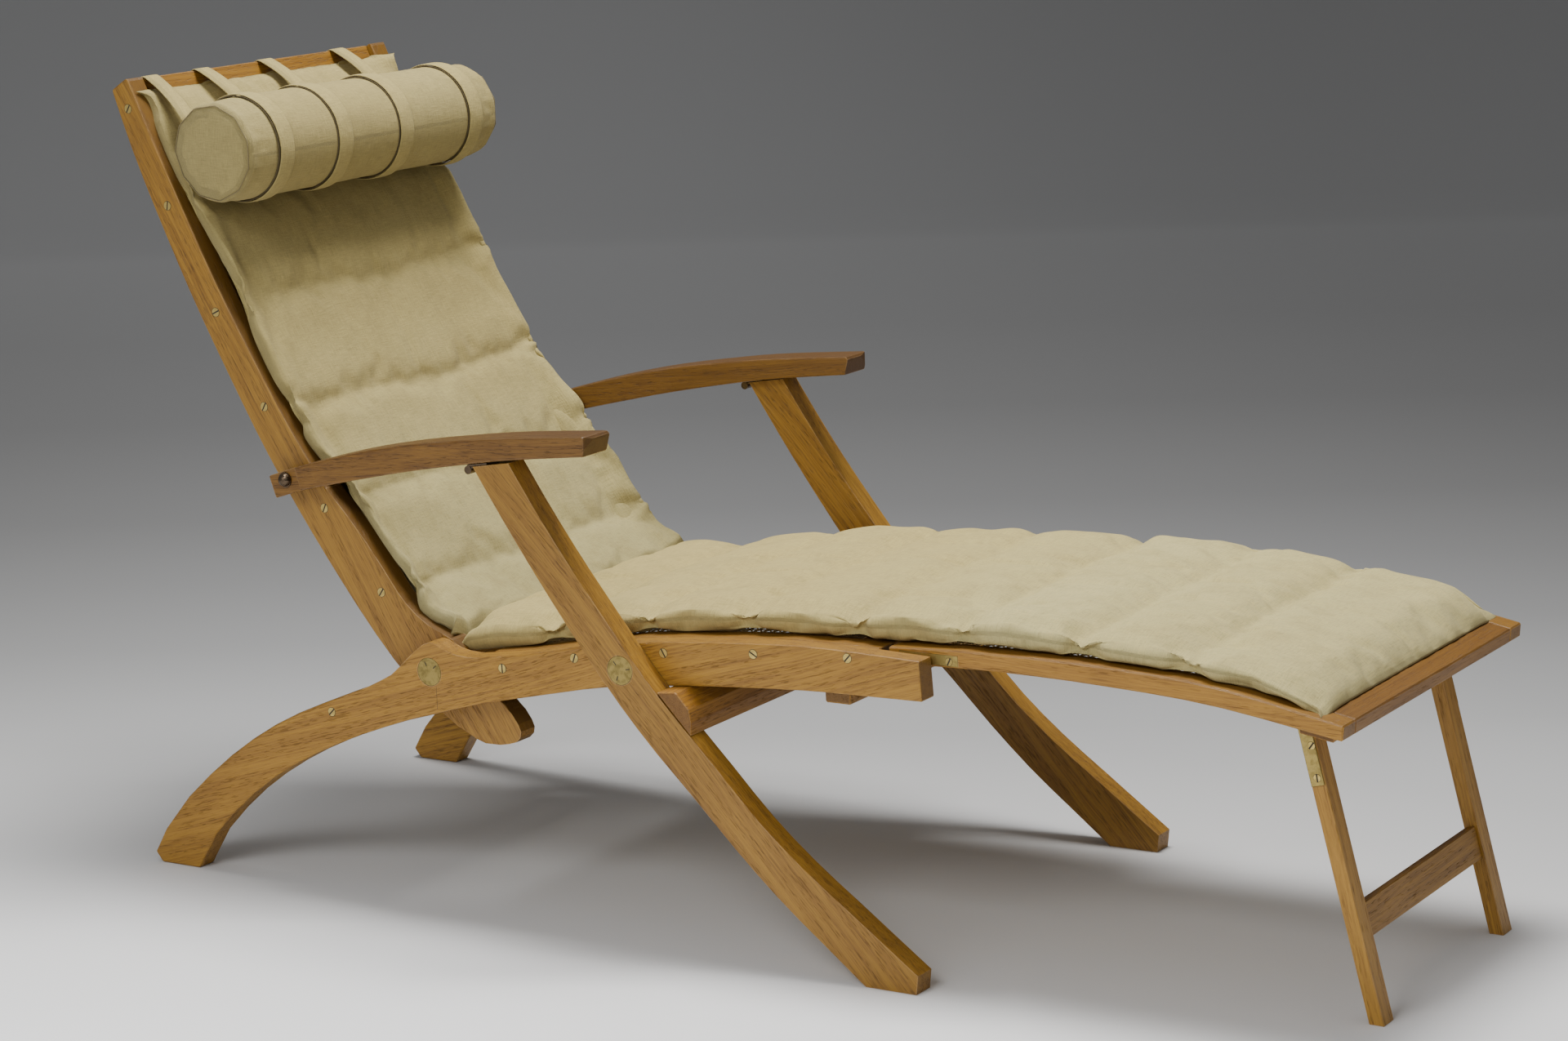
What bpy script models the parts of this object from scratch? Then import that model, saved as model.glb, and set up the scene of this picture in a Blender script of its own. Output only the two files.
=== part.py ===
"""Folding wooden deck lounge chair with a hinged footrest, a long channelled cushion and a bolster.

Everything lies along a few members that are drawn in the side view: x runs from the head to the
foot end, z up.
Near pieces are on the -Y side. The four pivots of each side make a parallelogram, which folds the chair:
the back turns in the seat rail, the front leg crosses the rail, and the arm joins the two.
"""
import math

import bmesh
import bpy
from mathutils import Vector

# The four pivots of one side, in the side view (x, z). The hinge under the arm closes the parallelogram.
BACK_PIVOT = Vector((-0.2415, 0.2680))
LEG_PIVOT = Vector((0.0295, 0.3040))
ARM_KNOB = Vector((-0.4270, 0.4675))
ARM_HINGE = LEG_PIVOT + ARM_KNOB - BACK_PIVOT
LINK_LENGTH = (ARM_HINGE - LEG_PIVOT).length
PIVOT_SPACING = (LEG_PIVOT - BACK_PIVOT).length

# Across the chair, from the outside in
FRAME_WIDTH = 0.580
LEG_THICKNESS = 0.028
RAIL_THICKNESS = 0.026
STILE_THICKNESS = 0.026
FOOTREST_SIDE_WIDTH = 0.030
WASHER_GAP = 0.0005
FOOTREST_SIDE_GAP = 0.003
FIT = 0.0003

LEG_OUT = FRAME_WIDTH / 2
LEG_IN = LEG_OUT - LEG_THICKNESS
RAIL_OUT = LEG_IN - WASHER_GAP
RAIL_IN = RAIL_OUT - RAIL_THICKNESS
STILE_OUT = RAIL_IN - WASHER_GAP
STILE_IN = STILE_OUT - STILE_THICKNESS
FOOTREST_OUT = RAIL_IN - FOOTREST_SIDE_GAP
FOOTREST_IN = FOOTREST_OUT - FOOTREST_SIDE_WIDTH

# Seat rails, which curve down to the rear feet
RAIL_DEPTH = 0.047
RAIL_HIP_DEPTH = 0.050
RAIL_FOOT_DEPTH = 0.061
RAIL_FRONT_DEPTH = 0.042
RAIL_LENGTH = 0.6180
BOSS_RADIUS = 0.039
EDGE_ROUND = 0.002

# Front legs, back stiles and arms
LEG_DEPTH = 0.0455
LEG_TOP_DEPTH = 0.043
LEG_FOOT_DEPTH = 0.053
STILE_DEPTH = 0.047
STILE_TOP_DEPTH = 0.028
STILE_LENGTH = 0.7400
STILE_TAIL = 0.082
STILE_TAIL_ROUND = 0.028
ARM_LENGTH = 0.4360
ARM_TAIL = 0.020
ARM_DEPTH = 0.028
ARM_TIP_DEPTH = 0.021
ARM_WIDTH = 0.0455
ARM_BEARING_GAP = 0.0008
ARM_REBATE = 0.008
ARM_REBATE_LENGTH = 0.025

# Round fittings
DISC_RADIUS = 0.0155
DISC_THICKNESS = 0.0022
PIVOT_PIN_RADIUS = 0.005
STUD_RADIUS = 0.004
STUD_CLEARANCE = 0.0004
KNOB_RADIUS = 0.0085
KNOB_HEIGHT = 0.008
KNOB_FLANGE = 0.0015
ROUND_SIDES = 20
DISC_SIDES = 28
BOSS_SIDES = 36

# Hinge between the leg top and the arm
HINGE_LEAF = 0.002
HINGE_LENGTH = 0.026
HINGE_WIDTH = 0.024
HINGE_PIN_RADIUS = 0.0016

# Cane frames and cross rails
FRAME_THICKNESS = 0.018
FRAME_SIDE_WIDTH = 0.028
FRAME_END_WIDTH = 0.035
SEAT_FRAME_START = 0.0740
SEAT_FRAME_END = 0.5560
CANE_THICKNESS = 0.0025
CANE_INSET = 0.002
CROSS_RAIL_WIDTH = 0.031
CROSS_RAIL_DEPTH = 0.046
CROSS_RAIL_AT = 0.5050
REAR_RAIL_WIDTH = 0.024
REAR_RAIL_DEPTH = 0.040
REAR_RAIL_AT = -0.1480
BACK_RECESS = 0.013
BACK_FRAME_START = 0.0800
BACK_FRAME_TO_TOP = 0.0600
BACK_FRAME_END = STILE_LENGTH - BACK_FRAME_TO_TOP
TOP_RAIL_DEPTH = 0.040
TOP_RAIL_THICKNESS = 0.014

# Crossbar on the front legs
CROSSBAR_THICKNESS = 0.019
CROSSBAR_TOP = -0.045
CROSSBAR_BOTTOM = -0.1045

# Footrest and its legs
FOOTREST_PIVOT = Vector((0.3460, 0.3370))
FOOTREST_PIN_RADIUS = 0.004
FOOTREST_LENGTH = 0.4740
FOOTREST_TAIL = 0.024
FOOTREST_THICKNESS = 0.0195
FOOTREST_TIP_THICKNESS = 0.0155
FOOTREST_BOARD_WIDTH = 0.085
FOOTREST_REAR_WIDTH = 0.030
PLATE_LENGTH = 0.067
PLATE_WIDTH = 0.011
PLATE_THICKNESS = 0.0020
FOOTLEG_FROM_FRONT = 0.0680
FOOTLEG_SPLAY = 0.0760
FOOTLEG_PIVOT = Vector((FOOTREST_PIVOT.x + FOOTREST_LENGTH - FOOTLEG_FROM_FRONT, 0.2990))
FOOTLEG_FOOT = Vector((FOOTLEG_PIVOT.x + FOOTLEG_SPLAY, 0.0000))
FOOTLEG_DEPTH = 0.0155
FOOTLEG_THICKNESS = 0.024
FOOTLEG_INSET = 0.0315
FOOTLEG_OUT = FOOTREST_IN - FOOTLEG_INSET
STRAP_WIDTH = 0.0140
STRAP_THICKNESS = 0.0020
STRAP_LENGTH = 0.0640
FOOTLEG_PIN_RADIUS = 0.0022
BRACKET_WIDTH = 0.018
STRETCHER_HEIGHT = 0.035
STRETCHER_THICKNESS = 0.011
STRETCHER_AT = 0.208
BATTEN_WIDTH = 0.036
BATTEN_DEPTH = 0.014

# Cushion, bolster and its straps
CUSHION_SIDE_GAP = 0.004
CUSHION_HALF_WIDTH = STILE_IN - CUSHION_SIDE_GAP
CUSHION_THICKNESS = 0.040
BACK_CUSHION_THICKNESS = 0.032
SEAM_THICKNESS = 0.017
SEAM_DRAW = 0.006
CUSHION_LIFT = 0.0005
CREASE = Vector((-0.2500, 0.2830))
CREASE_LEAN = math.radians(70.7)
CREASE_GAP = 0.0006
PANEL = 0.125
BOLSTER_RADIUS = 0.060
BOLSTER_END_INSET = 0.0035
BOLSTER_HALF_LENGTH = STILE_OUT - BOLSTER_END_INSET
BOLSTER_TO_TOP = 0.120
BOLSTER_AT = STILE_LENGTH - BOLSTER_TO_TOP
UNDER_BOLSTER = 0.004
BOLSTER_WAIST = 0.0015
TIE_WIDTH = 0.026
TIE_THICKNESS = 0.0015
TIE_SHARES = (-0.821, -0.333, 0.156, 0.644)
TIE_PLACES = [share * BOLSTER_HALF_LENGTH for share in TIE_SHARES]
CUSHION_TO_TOP = 0.022


# Drawing in the side view

def smooth(rows, s):
    """Read rows of (distance, value, value) at s, on a smooth curve through them."""
    i = 0
    while i < len(rows) - 2 and s > rows[i + 1][0]:
        i += 1
    first, second = rows[i], rows[i + 1]
    before, after = rows[max(i - 1, 0)], rows[min(i + 2, len(rows) - 1)]
    step = second[0] - first[0]
    t = min(max((s - first[0]) / step, 0.0), 1.0)
    values = []
    for a in range(1, len(first)):
        leave = (second[a] - before[a]) / (second[0] - before[0]) * step
        arrive = (after[a] - first[a]) / (after[0] - first[0]) * step
        values.append(
            first[a] * (2 * t**3 - 3 * t**2 + 1)
            + leave * (t**3 - 2 * t**2 + t)
            + second[a] * (3 * t**2 - 2 * t**3)
            + arrive * (t**3 - t**2)
        )
    return values


class Member:
    """A curved bar in the side view, given along the straight line from one point towards another.

    Each row is a distance along that line, how far off it the bar's middle lies, and the bar's depth.
    """

    def __init__(self, start, towards, rows):
        self.start = start
        self.along = (towards - start).normalized()
        self.off = Vector((-self.along.y, self.along.x))
        self.rows = rows

    def middle(self, s):
        return self.start + self.along * s + self.off * smooth(self.rows, s)[0]

    def half(self, s):
        return smooth(self.rows, s)[1] / 2

    def normal(self, s):
        reach = 0.001
        run = (self.middle(s + reach) - self.middle(s - reach)).normalized()
        return Vector((-run.y, run.x))

    def point(self, s, out):
        return self.middle(s) + self.normal(s) * out

    def high(self, s):
        return self.half(s)

    def low(self, s):
        return -self.half(s)


RAIL = Member(BACK_PIVOT, LEG_PIVOT, (
    (-0.432, -0.2385, RAIL_FOOT_DEPTH),
    (-0.391, -0.1880, RAIL_FOOT_DEPTH),
    (-0.362, -0.1593, RAIL_FOOT_DEPTH - 0.006),
    (-0.291, -0.1113, RAIL_HIP_DEPTH + 0.001),
    (-0.213, -0.0745, RAIL_HIP_DEPTH),
    (-0.129, -0.0489, RAIL_HIP_DEPTH - 0.002),
    (-0.044, -0.0293, RAIL_HIP_DEPTH - 0.001),
    (0.001, -0.0219, RAIL_HIP_DEPTH),
    (0.045, -0.0130, RAIL_HIP_DEPTH + 0.003),
    (0.131, -0.0080, RAIL_DEPTH),
    (0.220, -0.0008, RAIL_DEPTH),
    (PIVOT_SPACING, 0.0000, RAIL_DEPTH + 0.001),
    (0.352, -0.0024, RAIL_DEPTH),
    (0.485, -0.0112, RAIL_DEPTH),
    (RAIL_LENGTH, -0.0286, RAIL_FRONT_DEPTH),
))
LEG = Member(LEG_PIVOT, ARM_HINGE, (
    (-0.485, -0.0435, LEG_FOOT_DEPTH + 0.001),
    (-0.424, -0.0318, LEG_FOOT_DEPTH),
    (-0.358, -0.0201, LEG_FOOT_DEPTH - 0.0025),
    (-0.291, -0.0084, LEG_DEPTH + 0.002),
    (-0.222, -0.0012, LEG_DEPTH - 0.001),
    (-0.155, 0.0010, LEG_DEPTH - 0.0005),
    (-0.087, 0.0040, LEG_DEPTH + 0.001),
    (-0.022, 0.0040, LEG_DEPTH),
    (0.048, -0.0012, LEG_DEPTH),
    (0.114, -0.0075, LEG_TOP_DEPTH + 0.001),
    (0.182, -0.0161, LEG_TOP_DEPTH),
    (0.248, -0.0267, LEG_TOP_DEPTH),
    (LINK_LENGTH + 0.028, -0.0365, LEG_TOP_DEPTH),
))
STILE = Member(BACK_PIVOT, ARM_KNOB, (
    (-0.125, -0.0195, STILE_DEPTH + 0.010),
    (-STILE_TAIL, -0.0053, STILE_DEPTH + 0.013),
    (-0.048, 0.0047, STILE_DEPTH + 0.016),
    (-0.012, 0.0134, STILE_DEPTH + 0.016),
    (0.025, 0.0197, STILE_DEPTH + 0.013),
    (0.063, 0.0227, STILE_DEPTH + 0.007),
    (0.103, 0.0222, STILE_DEPTH + 0.004),
    (0.177, 0.0151, STILE_DEPTH + 0.003),
    (0.247, 0.0061, STILE_DEPTH + 0.002),
    (0.321, -0.0054, STILE_DEPTH - 0.0015),
    (0.392, -0.0210, STILE_DEPTH - 0.004),
    (0.498, -0.0474, STILE_DEPTH - 0.007),
    (STILE_LENGTH - 0.137, -0.0793, STILE_DEPTH - 0.010),
    (STILE_LENGTH - 0.068, -0.1022, STILE_DEPTH - 0.0135),
    (STILE_LENGTH, -0.1280, STILE_TOP_DEPTH),
))
ARM = Member(ARM_KNOB, ARM_HINGE, (
    (-0.030, -0.0092, ARM_DEPTH - 0.002),
    (0.014, -0.0008, ARM_DEPTH - 0.002),
    (0.049, 0.0038, ARM_DEPTH - 0.0005),
    (0.118, 0.0113, ARM_DEPTH + 0.0015),
    (0.188, 0.0163, ARM_DEPTH + 0.001),
    (PIVOT_SPACING, 0.0189, ARM_DEPTH - 0.002),
    (0.328, 0.0190, ARM_DEPTH - 0.004),
    (ARM_LENGTH - 0.038, 0.0166, ARM_TIP_DEPTH + 0.001),
    (ARM_LENGTH, 0.0150, ARM_TIP_DEPTH),
))
FOOTREST = Member(FOOTREST_PIVOT, FOOTREST_PIVOT + Vector((1, 0)), (
    (-FOOTREST_TAIL, 0.0000, FOOTREST_THICKNESS - 0.0015),
    (0.053, 0.0032, FOOTREST_THICKNESS - 0.0015),
    (0.112, 0.0042, FOOTREST_THICKNESS - 0.001),
    (0.206, 0.0030, FOOTREST_THICKNESS),
    (0.334, -0.0045, FOOTREST_THICKNESS),
    (FOOTREST_LENGTH, -0.0275, FOOTREST_TIP_THICKNESS),
))
FOOTLEG = Member(FOOTLEG_PIVOT, FOOTLEG_FOOT, (
    (-0.010, 0.0, FOOTLEG_DEPTH),
    (0.340, 0.0, FOOTLEG_DEPTH),
))

# The chair stands centred over its own length, from the head end of the stiles to the toes of the
# footrest legs.
HEAD_END = STILE.point(STILE_LENGTH, STILE_TOP_DEPTH / 2).x
TOE_END = FOOTLEG_FOOT.x + FOOTLEG_DEPTH / 2 / -FOOTLEG.along.y
MIDDLE_X = (HEAD_END + TOE_END) / 2


def place(p, y):
    """A side-view point at a place across the chair, in the chair's own frame."""
    return Vector((p.x - MIDDLE_X, y, p.y))


def at(value, s):
    return value(s) if callable(value) else value


# Making solids

def loft(mesh, rings):
    """Join closed rings of vertices one after the other, and close both ends."""
    for ring, following in zip(rings, rings[1:]):
        for i in range(len(ring)):
            j = (i + 1) % len(ring)
            mesh.faces.new((ring[i], ring[j], following[j], following[i]))
    mesh.faces.new(rings[0])
    mesh.faces.new(rings[-1])


def board(member, start, end, inner, outer, low=None, high=None, steps=1, nose=0.0):
    """A bar of four-cornered sections along a member, between two places across the chair.

    A nose rounds the starting end off over that length.
    """
    low, high = low or member.low, high or member.high
    stations = [(start + (end - start) * i / steps, 1.0) for i in range(steps + 1)]
    turns = 6 if nose else 0
    for k in range(1, turns + 1):
        angle = math.radians(80) * k / turns
        back = nose * math.sin(angle) * (-1 if end > start else 1)
        stations.insert(0, (start + back, math.cos(angle) ** 0.75))
    mesh = bmesh.new()
    rings = []
    for s, share in stations:
        bottom, top = at(low, s), at(high, s)
        middle, half = (bottom + top) / 2, (top - bottom) / 2 * share
        under, over = member.point(s, middle - half), member.point(s, middle + half)
        corners = ((under, at(inner, s)), (over, at(inner, s)), (over, at(outer, s)), (under, at(outer, s)))
        rings.append([mesh.verts.new(place(p, y)) for p, y in corners])
    loft(mesh, rings)
    return mesh


def slab(outline, inner, outer):
    """A flat-sided piece: an outline in the side view, extruded across the chair."""
    mesh = bmesh.new()
    face = mesh.faces.new([mesh.verts.new(place(p, inner)) for p in outline])
    grown = bmesh.ops.extrude_face_region(mesh, geom=[face])["geom"]
    moved = [v for v in grown if isinstance(v, bmesh.types.BMVert)]
    bmesh.ops.translate(mesh, verts=moved, vec=(0, outer - inner, 0))
    return mesh


def turned(profile, centre, sides=ROUND_SIDES):
    """Spin a half profile of (radius, place across the chair) about a line through a side-view point."""
    mesh = bmesh.new()
    verts = [mesh.verts.new(place(centre + Vector((r, 0)), y)) for r, y in profile]
    edges = [mesh.edges.new(pair) for pair in zip(verts, verts[1:])]
    bmesh.ops.spin(
        mesh, geom=verts + edges, cent=place(centre, 0), axis=(0, 1, 0), angle=math.tau, steps=sides
    )
    bmesh.ops.remove_doubles(mesh, verts=mesh.verts, dist=1e-6)
    return mesh


def rod(centre, radius, inner, outer, sides=ROUND_SIDES):
    return turned(((0, inner), (radius, inner), (radius, outer), (0, outer)), centre, sides)


def bore_radius(radius, clearance=FIT, sides=ROUND_SIDES):
    """The radius of a many-sided bore whose flats clear a pin of this radius all round."""
    return (radius + clearance) / math.cos(math.pi / sides)


def trim(mesh, point, normal):
    """Cut off what lies beyond a plane, and close the cut."""
    everything = mesh.verts[:] + mesh.edges[:] + mesh.faces[:]
    found = bmesh.ops.bisect_plane(
        mesh, geom=everything, dist=1e-6, plane_co=point, plane_no=normal, clear_outer=True
    )
    rim = [e for e in found["geom_cut"] if isinstance(e, bmesh.types.BMEdge)]
    bmesh.ops.holes_fill(mesh, edges=rim, sides=0)


# Objects

def clear_scene():
    for old in list(bpy.data.objects):
        bpy.data.objects.remove(old, do_unlink=True)


def make_material(name, colour, roughness, metallic=0.0):
    material = bpy.data.materials.new(name)
    material.use_nodes = True
    shader = material.node_tree.nodes["Principled BSDF"]
    shader.inputs["Base Color"].default_value = (*colour, 1.0)
    shader.inputs["Roughness"].default_value = roughness
    shader.inputs["Metallic"].default_value = metallic
    material.diffuse_color = (*colour, 1.0)
    return material


class Body:
    """An empty on a joint's axis, which carries the pieces that move together."""

    def __init__(self, name, pivot=None, parent=None):
        self.at = place(pivot, 0) if pivot else Vector((0, 0, 0))
        self.empty = bpy.data.objects.new(name, None)
        self.empty.empty_display_size = 0.06
        bpy.context.scene.collection.objects.link(self.empty)
        if parent:
            self.empty.parent = parent.empty
            self.empty.location = self.at - parent.at
        else:
            self.empty.location = self.at

    def add(self, name, mesh, material, edge=0.0, round_sides=False):
        """Give the body a piece, with its outer edges rounded by this much."""
        bmesh.ops.translate(mesh, verts=mesh.verts, vec=-self.at)
        bmesh.ops.recalc_face_normals(mesh, faces=mesh.faces)
        data = bpy.data.meshes.new(name)
        mesh.to_mesh(data)
        mesh.free()
        data.materials.append(material)
        if round_sides:
            data.shade_smooth()
            data.set_sharp_from_angle(angle=math.radians(35))
        obj = bpy.data.objects.new(name, data)
        bpy.context.scene.collection.objects.link(obj)
        obj.parent = self.empty
        if edge:
            bevel = obj.modifiers.new("Edges", "BEVEL")
            bevel.width = edge
            bevel.segments = 2 if edge >= EDGE_ROUND else 1
            bevel.limit_method = "ANGLE"
            bevel.angle_limit = math.radians(35)
        return obj


def join_shape(obj, mesh, operation):
    """Cut a shape out of a piece, or weld it on, and leave the shape in the file as a guide."""
    bmesh.ops.recalc_face_normals(mesh, faces=mesh.faces)
    data = bpy.data.meshes.new(obj.name + "_shape")
    mesh.to_mesh(data)
    mesh.free()
    guide = bpy.data.objects.new(data.name, data)
    guide.hide_render = True
    guide.display_type = "WIRE"
    bpy.context.scene.collection.objects.link(guide)
    boolean = obj.modifiers.new("Shape", "BOOLEAN")
    boolean.operation = operation
    boolean.solver = "EXACT"
    boolean.object = guide


def cut(obj, mesh):
    join_shape(obj, mesh, "DIFFERENCE")


def weld(obj, mesh):
    join_shape(obj, mesh, "UNION")


# The wooden frame

def make_rail(body, side, name, wood):
    rail = board(RAIL, -0.430, RAIL_LENGTH, side * RAIL_IN, side * RAIL_OUT, steps=30)
    foot = RAIL.point(-0.391, RAIL.high(-0.391))
    trim(rail, Vector((0, 0, 0)), Vector((0, 0, -1)))
    heel = Vector((foot.x - 0.0206, 0.010))
    trim(rail, place(heel, 0), Vector((-1, 0, -0.8)))
    obj = body.add(name, rail, wood, EDGE_ROUND)
    boss = turned(
        (
            (0, RAIL_IN),
            (BOSS_RADIUS - EDGE_ROUND, RAIL_IN),
            (BOSS_RADIUS, RAIL_IN + EDGE_ROUND),
            (BOSS_RADIUS, RAIL_OUT - EDGE_ROUND),
            (BOSS_RADIUS - EDGE_ROUND, RAIL_OUT),
            (0, RAIL_OUT),
        ),
        BACK_PIVOT,
        BOSS_SIDES,
    )
    flip_side(boss, side)
    weld(obj, boss)
    inner, outer = side * (RAIL_IN - 0.002), side * (RAIL_OUT + 0.002)
    cut(obj, rod(BACK_PIVOT, bore_radius(PIVOT_PIN_RADIUS), inner, outer))
    recess = side * (RAIL_OUT - DISC_THICKNESS - FIT)
    cut(obj, rod(BACK_PIVOT, bore_radius(DISC_RADIUS, sides=DISC_SIDES), recess, outer, DISC_SIDES))
    cut(obj, rod(LEG_PIVOT, bore_radius(PIVOT_PIN_RADIUS), inner, outer))
    cut(obj, rod(FOOTREST_PIVOT, bore_radius(FOOTREST_PIN_RADIUS), side * (RAIL_IN - 0.002),
                 side * (RAIL_IN + 0.018)))
    return obj


def flip_side(mesh, side):
    """Mirror a piece made for the far side to the near one."""
    if side < 0:
        for vert in mesh.verts:
            vert.co.y = -vert.co.y
        bmesh.ops.reverse_faces(mesh, faces=mesh.faces)


def make_disc(body, side, name, brass, pivot, face, end):
    """A brass disc let in flush with a face, with the pin that it heads."""
    disc = turned(
        (
            (0, face),
            (DISC_RADIUS, face),
            (DISC_RADIUS, face - DISC_THICKNESS),
            (PIVOT_PIN_RADIUS, face - DISC_THICKNESS),
            (PIVOT_PIN_RADIUS, end),
            (0, end),
        ),
        pivot,
        DISC_SIDES,
    )
    flip_side(disc, side)
    body.add(name, disc, brass, round_sides=True)


def make_leg(body, side, name, wood):
    leg = board(LEG, -0.480, LINK_LENGTH + 0.026, side * LEG_IN, side * LEG_OUT, steps=24)
    trim(leg, Vector((0, 0, 0)), Vector((0, 0, -1)))
    trim(leg, place(Vector((TOE_OF_LEG, 0.018)), 0), Vector((1, 0, -0.12)))
    up = ARM.normal(PIVOT_SPACING)
    trim(leg, place(under_arm(LEG_TOP_DROP), 0), Vector((up.x, 0, up.y)))
    obj = body.add(name, leg, wood, EDGE_ROUND)
    cut(obj, rod(LEG_PIVOT, bore_radius(PIVOT_PIN_RADIUS), side * (LEG_IN - 0.002), side * (LEG_OUT + 0.002)))
    recess = side * (LEG_OUT - DISC_THICKNESS - FIT)
    outer = side * (LEG_OUT + 0.002)
    cut(obj, rod(LEG_PIVOT, bore_radius(DISC_RADIUS, sides=DISC_SIDES), recess, outer, DISC_SIDES))
    deep, end = 2 * HINGE_LEAF + 3 * FIT, HINGE_LENGTH + FIT
    seat = [hinge_point(-0.020, deep), hinge_point(end, deep),
            hinge_point(end, -0.002), hinge_point(-0.020, -0.002)]
    middle = (LEG_IN + LEG_OUT) / 2
    reach = HINGE_WIDTH / 2 + FIT
    cut(obj, slab(seat, side * (middle - reach), side * (middle + reach)))
    return obj


def under_arm(drop, s=PIVOT_SPACING):
    """A point below the arm's underside, over the leg."""
    return ARM.point(s, ARM.low(s) - drop)


def hinge_sides(side, middle):
    return side * (middle - HINGE_WIDTH / 2), side * (middle + HINGE_WIDTH / 2)


def hinge_point(forward, drop):
    """A point in the hinge's own directions: forward from its pin along the arm, and down from the arm."""
    start = under_arm(0)
    run = Vector((ARM.normal(PIVOT_SPACING).y, -ARM.normal(PIVOT_SPACING).x))
    pin = ARM_HINGE
    return start + run * ((pin - start).dot(run) + forward) - ARM.normal(PIVOT_SPACING) * drop


LEG_TOP_DROP = HINGE_LEAF + 2 * FIT
PIN_DROP = (under_arm(0) - ARM_HINGE).dot(ARM.normal(PIVOT_SPACING))
KNUCKLE_RADIUS = PIN_DROP - HINGE_LEAF - FIT + HINGE_LEAF / 2
TOE_OF_LEG = LEG.point(-0.424, -LEG_FOOT_DEPTH / 2).x + 0.022


def make_arm_hinge(body, side, name, brass):
    """The leaf under the arm, with the two outer knuckles and the pin."""
    middle = (LEG_IN + LEG_OUT) / 2
    third = HINGE_WIDTH / 3
    leaf = [hinge_point(0, FIT), hinge_point(HINGE_LENGTH, FIT),
            hinge_point(HINGE_LENGTH, FIT + HINGE_LEAF), hinge_point(0, FIT + HINGE_LEAF)]
    obj = body.add(name, slab(leaf, *hinge_sides(side, middle)), brass)
    weld(obj, rod(ARM_HINGE, KNUCKLE_RADIUS, side * (middle - HINGE_WIDTH / 2 + 0.0001),
                  side * (middle + HINGE_WIDTH / 2 - 0.0001)))
    gap = [hinge_point(-0.02, -0.02), hinge_point(KNUCKLE_RADIUS + 0.001, -0.02),
           hinge_point(KNUCKLE_RADIUS + 0.001, 0.02), hinge_point(-0.02, 0.02)]
    cut(obj, slab(gap, side * (middle - third / 2 - FIT), side * (middle + third / 2 + FIT)))
    weld(obj, rod(ARM_HINGE, HINGE_PIN_RADIUS, side * (middle - HINGE_WIDTH / 2 + 0.001),
                  side * (middle + HINGE_WIDTH / 2 - 0.001)))


def make_post_hinge(body, side, name, brass):
    """The leaf let into the leg's top, with the middle knuckle."""
    middle = (LEG_IN + LEG_OUT) / 2
    third = HINGE_WIDTH / 3
    top = 2 * FIT + HINGE_LEAF
    leaf = [hinge_point(KNUCKLE_RADIUS + FIT, top), hinge_point(HINGE_LENGTH, top),
            hinge_point(HINGE_LENGTH, top + HINGE_LEAF), hinge_point(KNUCKLE_RADIUS + FIT, top + HINGE_LEAF)]
    obj = body.add(name, slab(leaf, *hinge_sides(side, middle)), brass)
    skin = HINGE_LEAF * 0.15
    tongue = [hinge_point(0, top + skin), hinge_point(HINGE_LENGTH / 2, top + skin),
              hinge_point(HINGE_LENGTH / 2, top + HINGE_LEAF - skin), hinge_point(0, top + HINGE_LEAF - skin)]
    weld(obj, slab(tongue, side * (middle - third / 2 + 0.0002), side * (middle + third / 2 - 0.0002)))
    weld(obj, rod(ARM_HINGE, KNUCKLE_RADIUS, side * (middle - third / 2), side * (middle + third / 2)))
    cut(obj, rod(ARM_HINGE, bore_radius(HINGE_PIN_RADIUS), side * (middle - third), side * (middle + third)))


def make_stile(body, side, name, wood):
    stile = board(STILE, -STILE_TAIL, STILE_LENGTH, side * STILE_IN, side * STILE_OUT, steps=25,
                  nose=STILE_TAIL_ROUND)
    obj = body.add(name, stile, wood, EDGE_ROUND)
    outer = side * (STILE_OUT + 0.002)
    cut(obj, rod(BACK_PIVOT, bore_radius(PIVOT_PIN_RADIUS), side * (STILE_IN - 0.002), outer))
    cut(obj, rod(ARM_KNOB, bore_radius(STUD_RADIUS), side * (STILE_IN + 0.008), side * (STILE_OUT + 0.002)))
    return obj


def arm_outer(s):
    """The arm's outer edge runs out from the tongue to the leg's outer face, and on to the tip."""
    rear = STILE_OUT + 0.033
    flare = min(max(s / (PIVOT_SPACING + 0.02), 0.0), 1.0)
    return rear + (LEG_OUT - rear) * flare


def arm_inner(s):
    """The inner edge bears on the stile and then widens to the full arm."""
    t = min(max((s - 0.060) / 0.140, 0.0), 1.0)
    ease = t * t * (3 - 2 * t)
    tongue = STILE_OUT + ARM_BEARING_GAP
    return tongue + (LEG_OUT - ARM_WIDTH - tongue) * ease


def make_arm(body, side, name, wood):
    arm = board(ARM, -ARM_TAIL, ARM_LENGTH, arm_inner, arm_outer, steps=18)
    tip = ARM.middle(ARM_LENGTH)
    trim(arm, place(tip, LEG_OUT - ARM_WIDTH), Vector((1, 0.17, 0)))
    flip_side(arm, side)
    obj = body.add(name, arm, wood, EDGE_ROUND)
    face = side * (arm_outer(0) - ARM_REBATE)
    step = [ARM.point(-0.035, -0.03), ARM.point(ARM_REBATE_LENGTH, -0.03), ARM.point(ARM_REBATE_LENGTH, 0.03),
            ARM.point(-0.035, 0.03)]
    cut(obj, slab(step, face, side * (LEG_OUT + 0.01)))
    bore = bore_radius(STUD_RADIUS, STUD_CLEARANCE)
    cut(obj, rod(ARM_KNOB, bore, side * (STILE_OUT - 0.004), side * LEG_OUT))
    return obj


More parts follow.
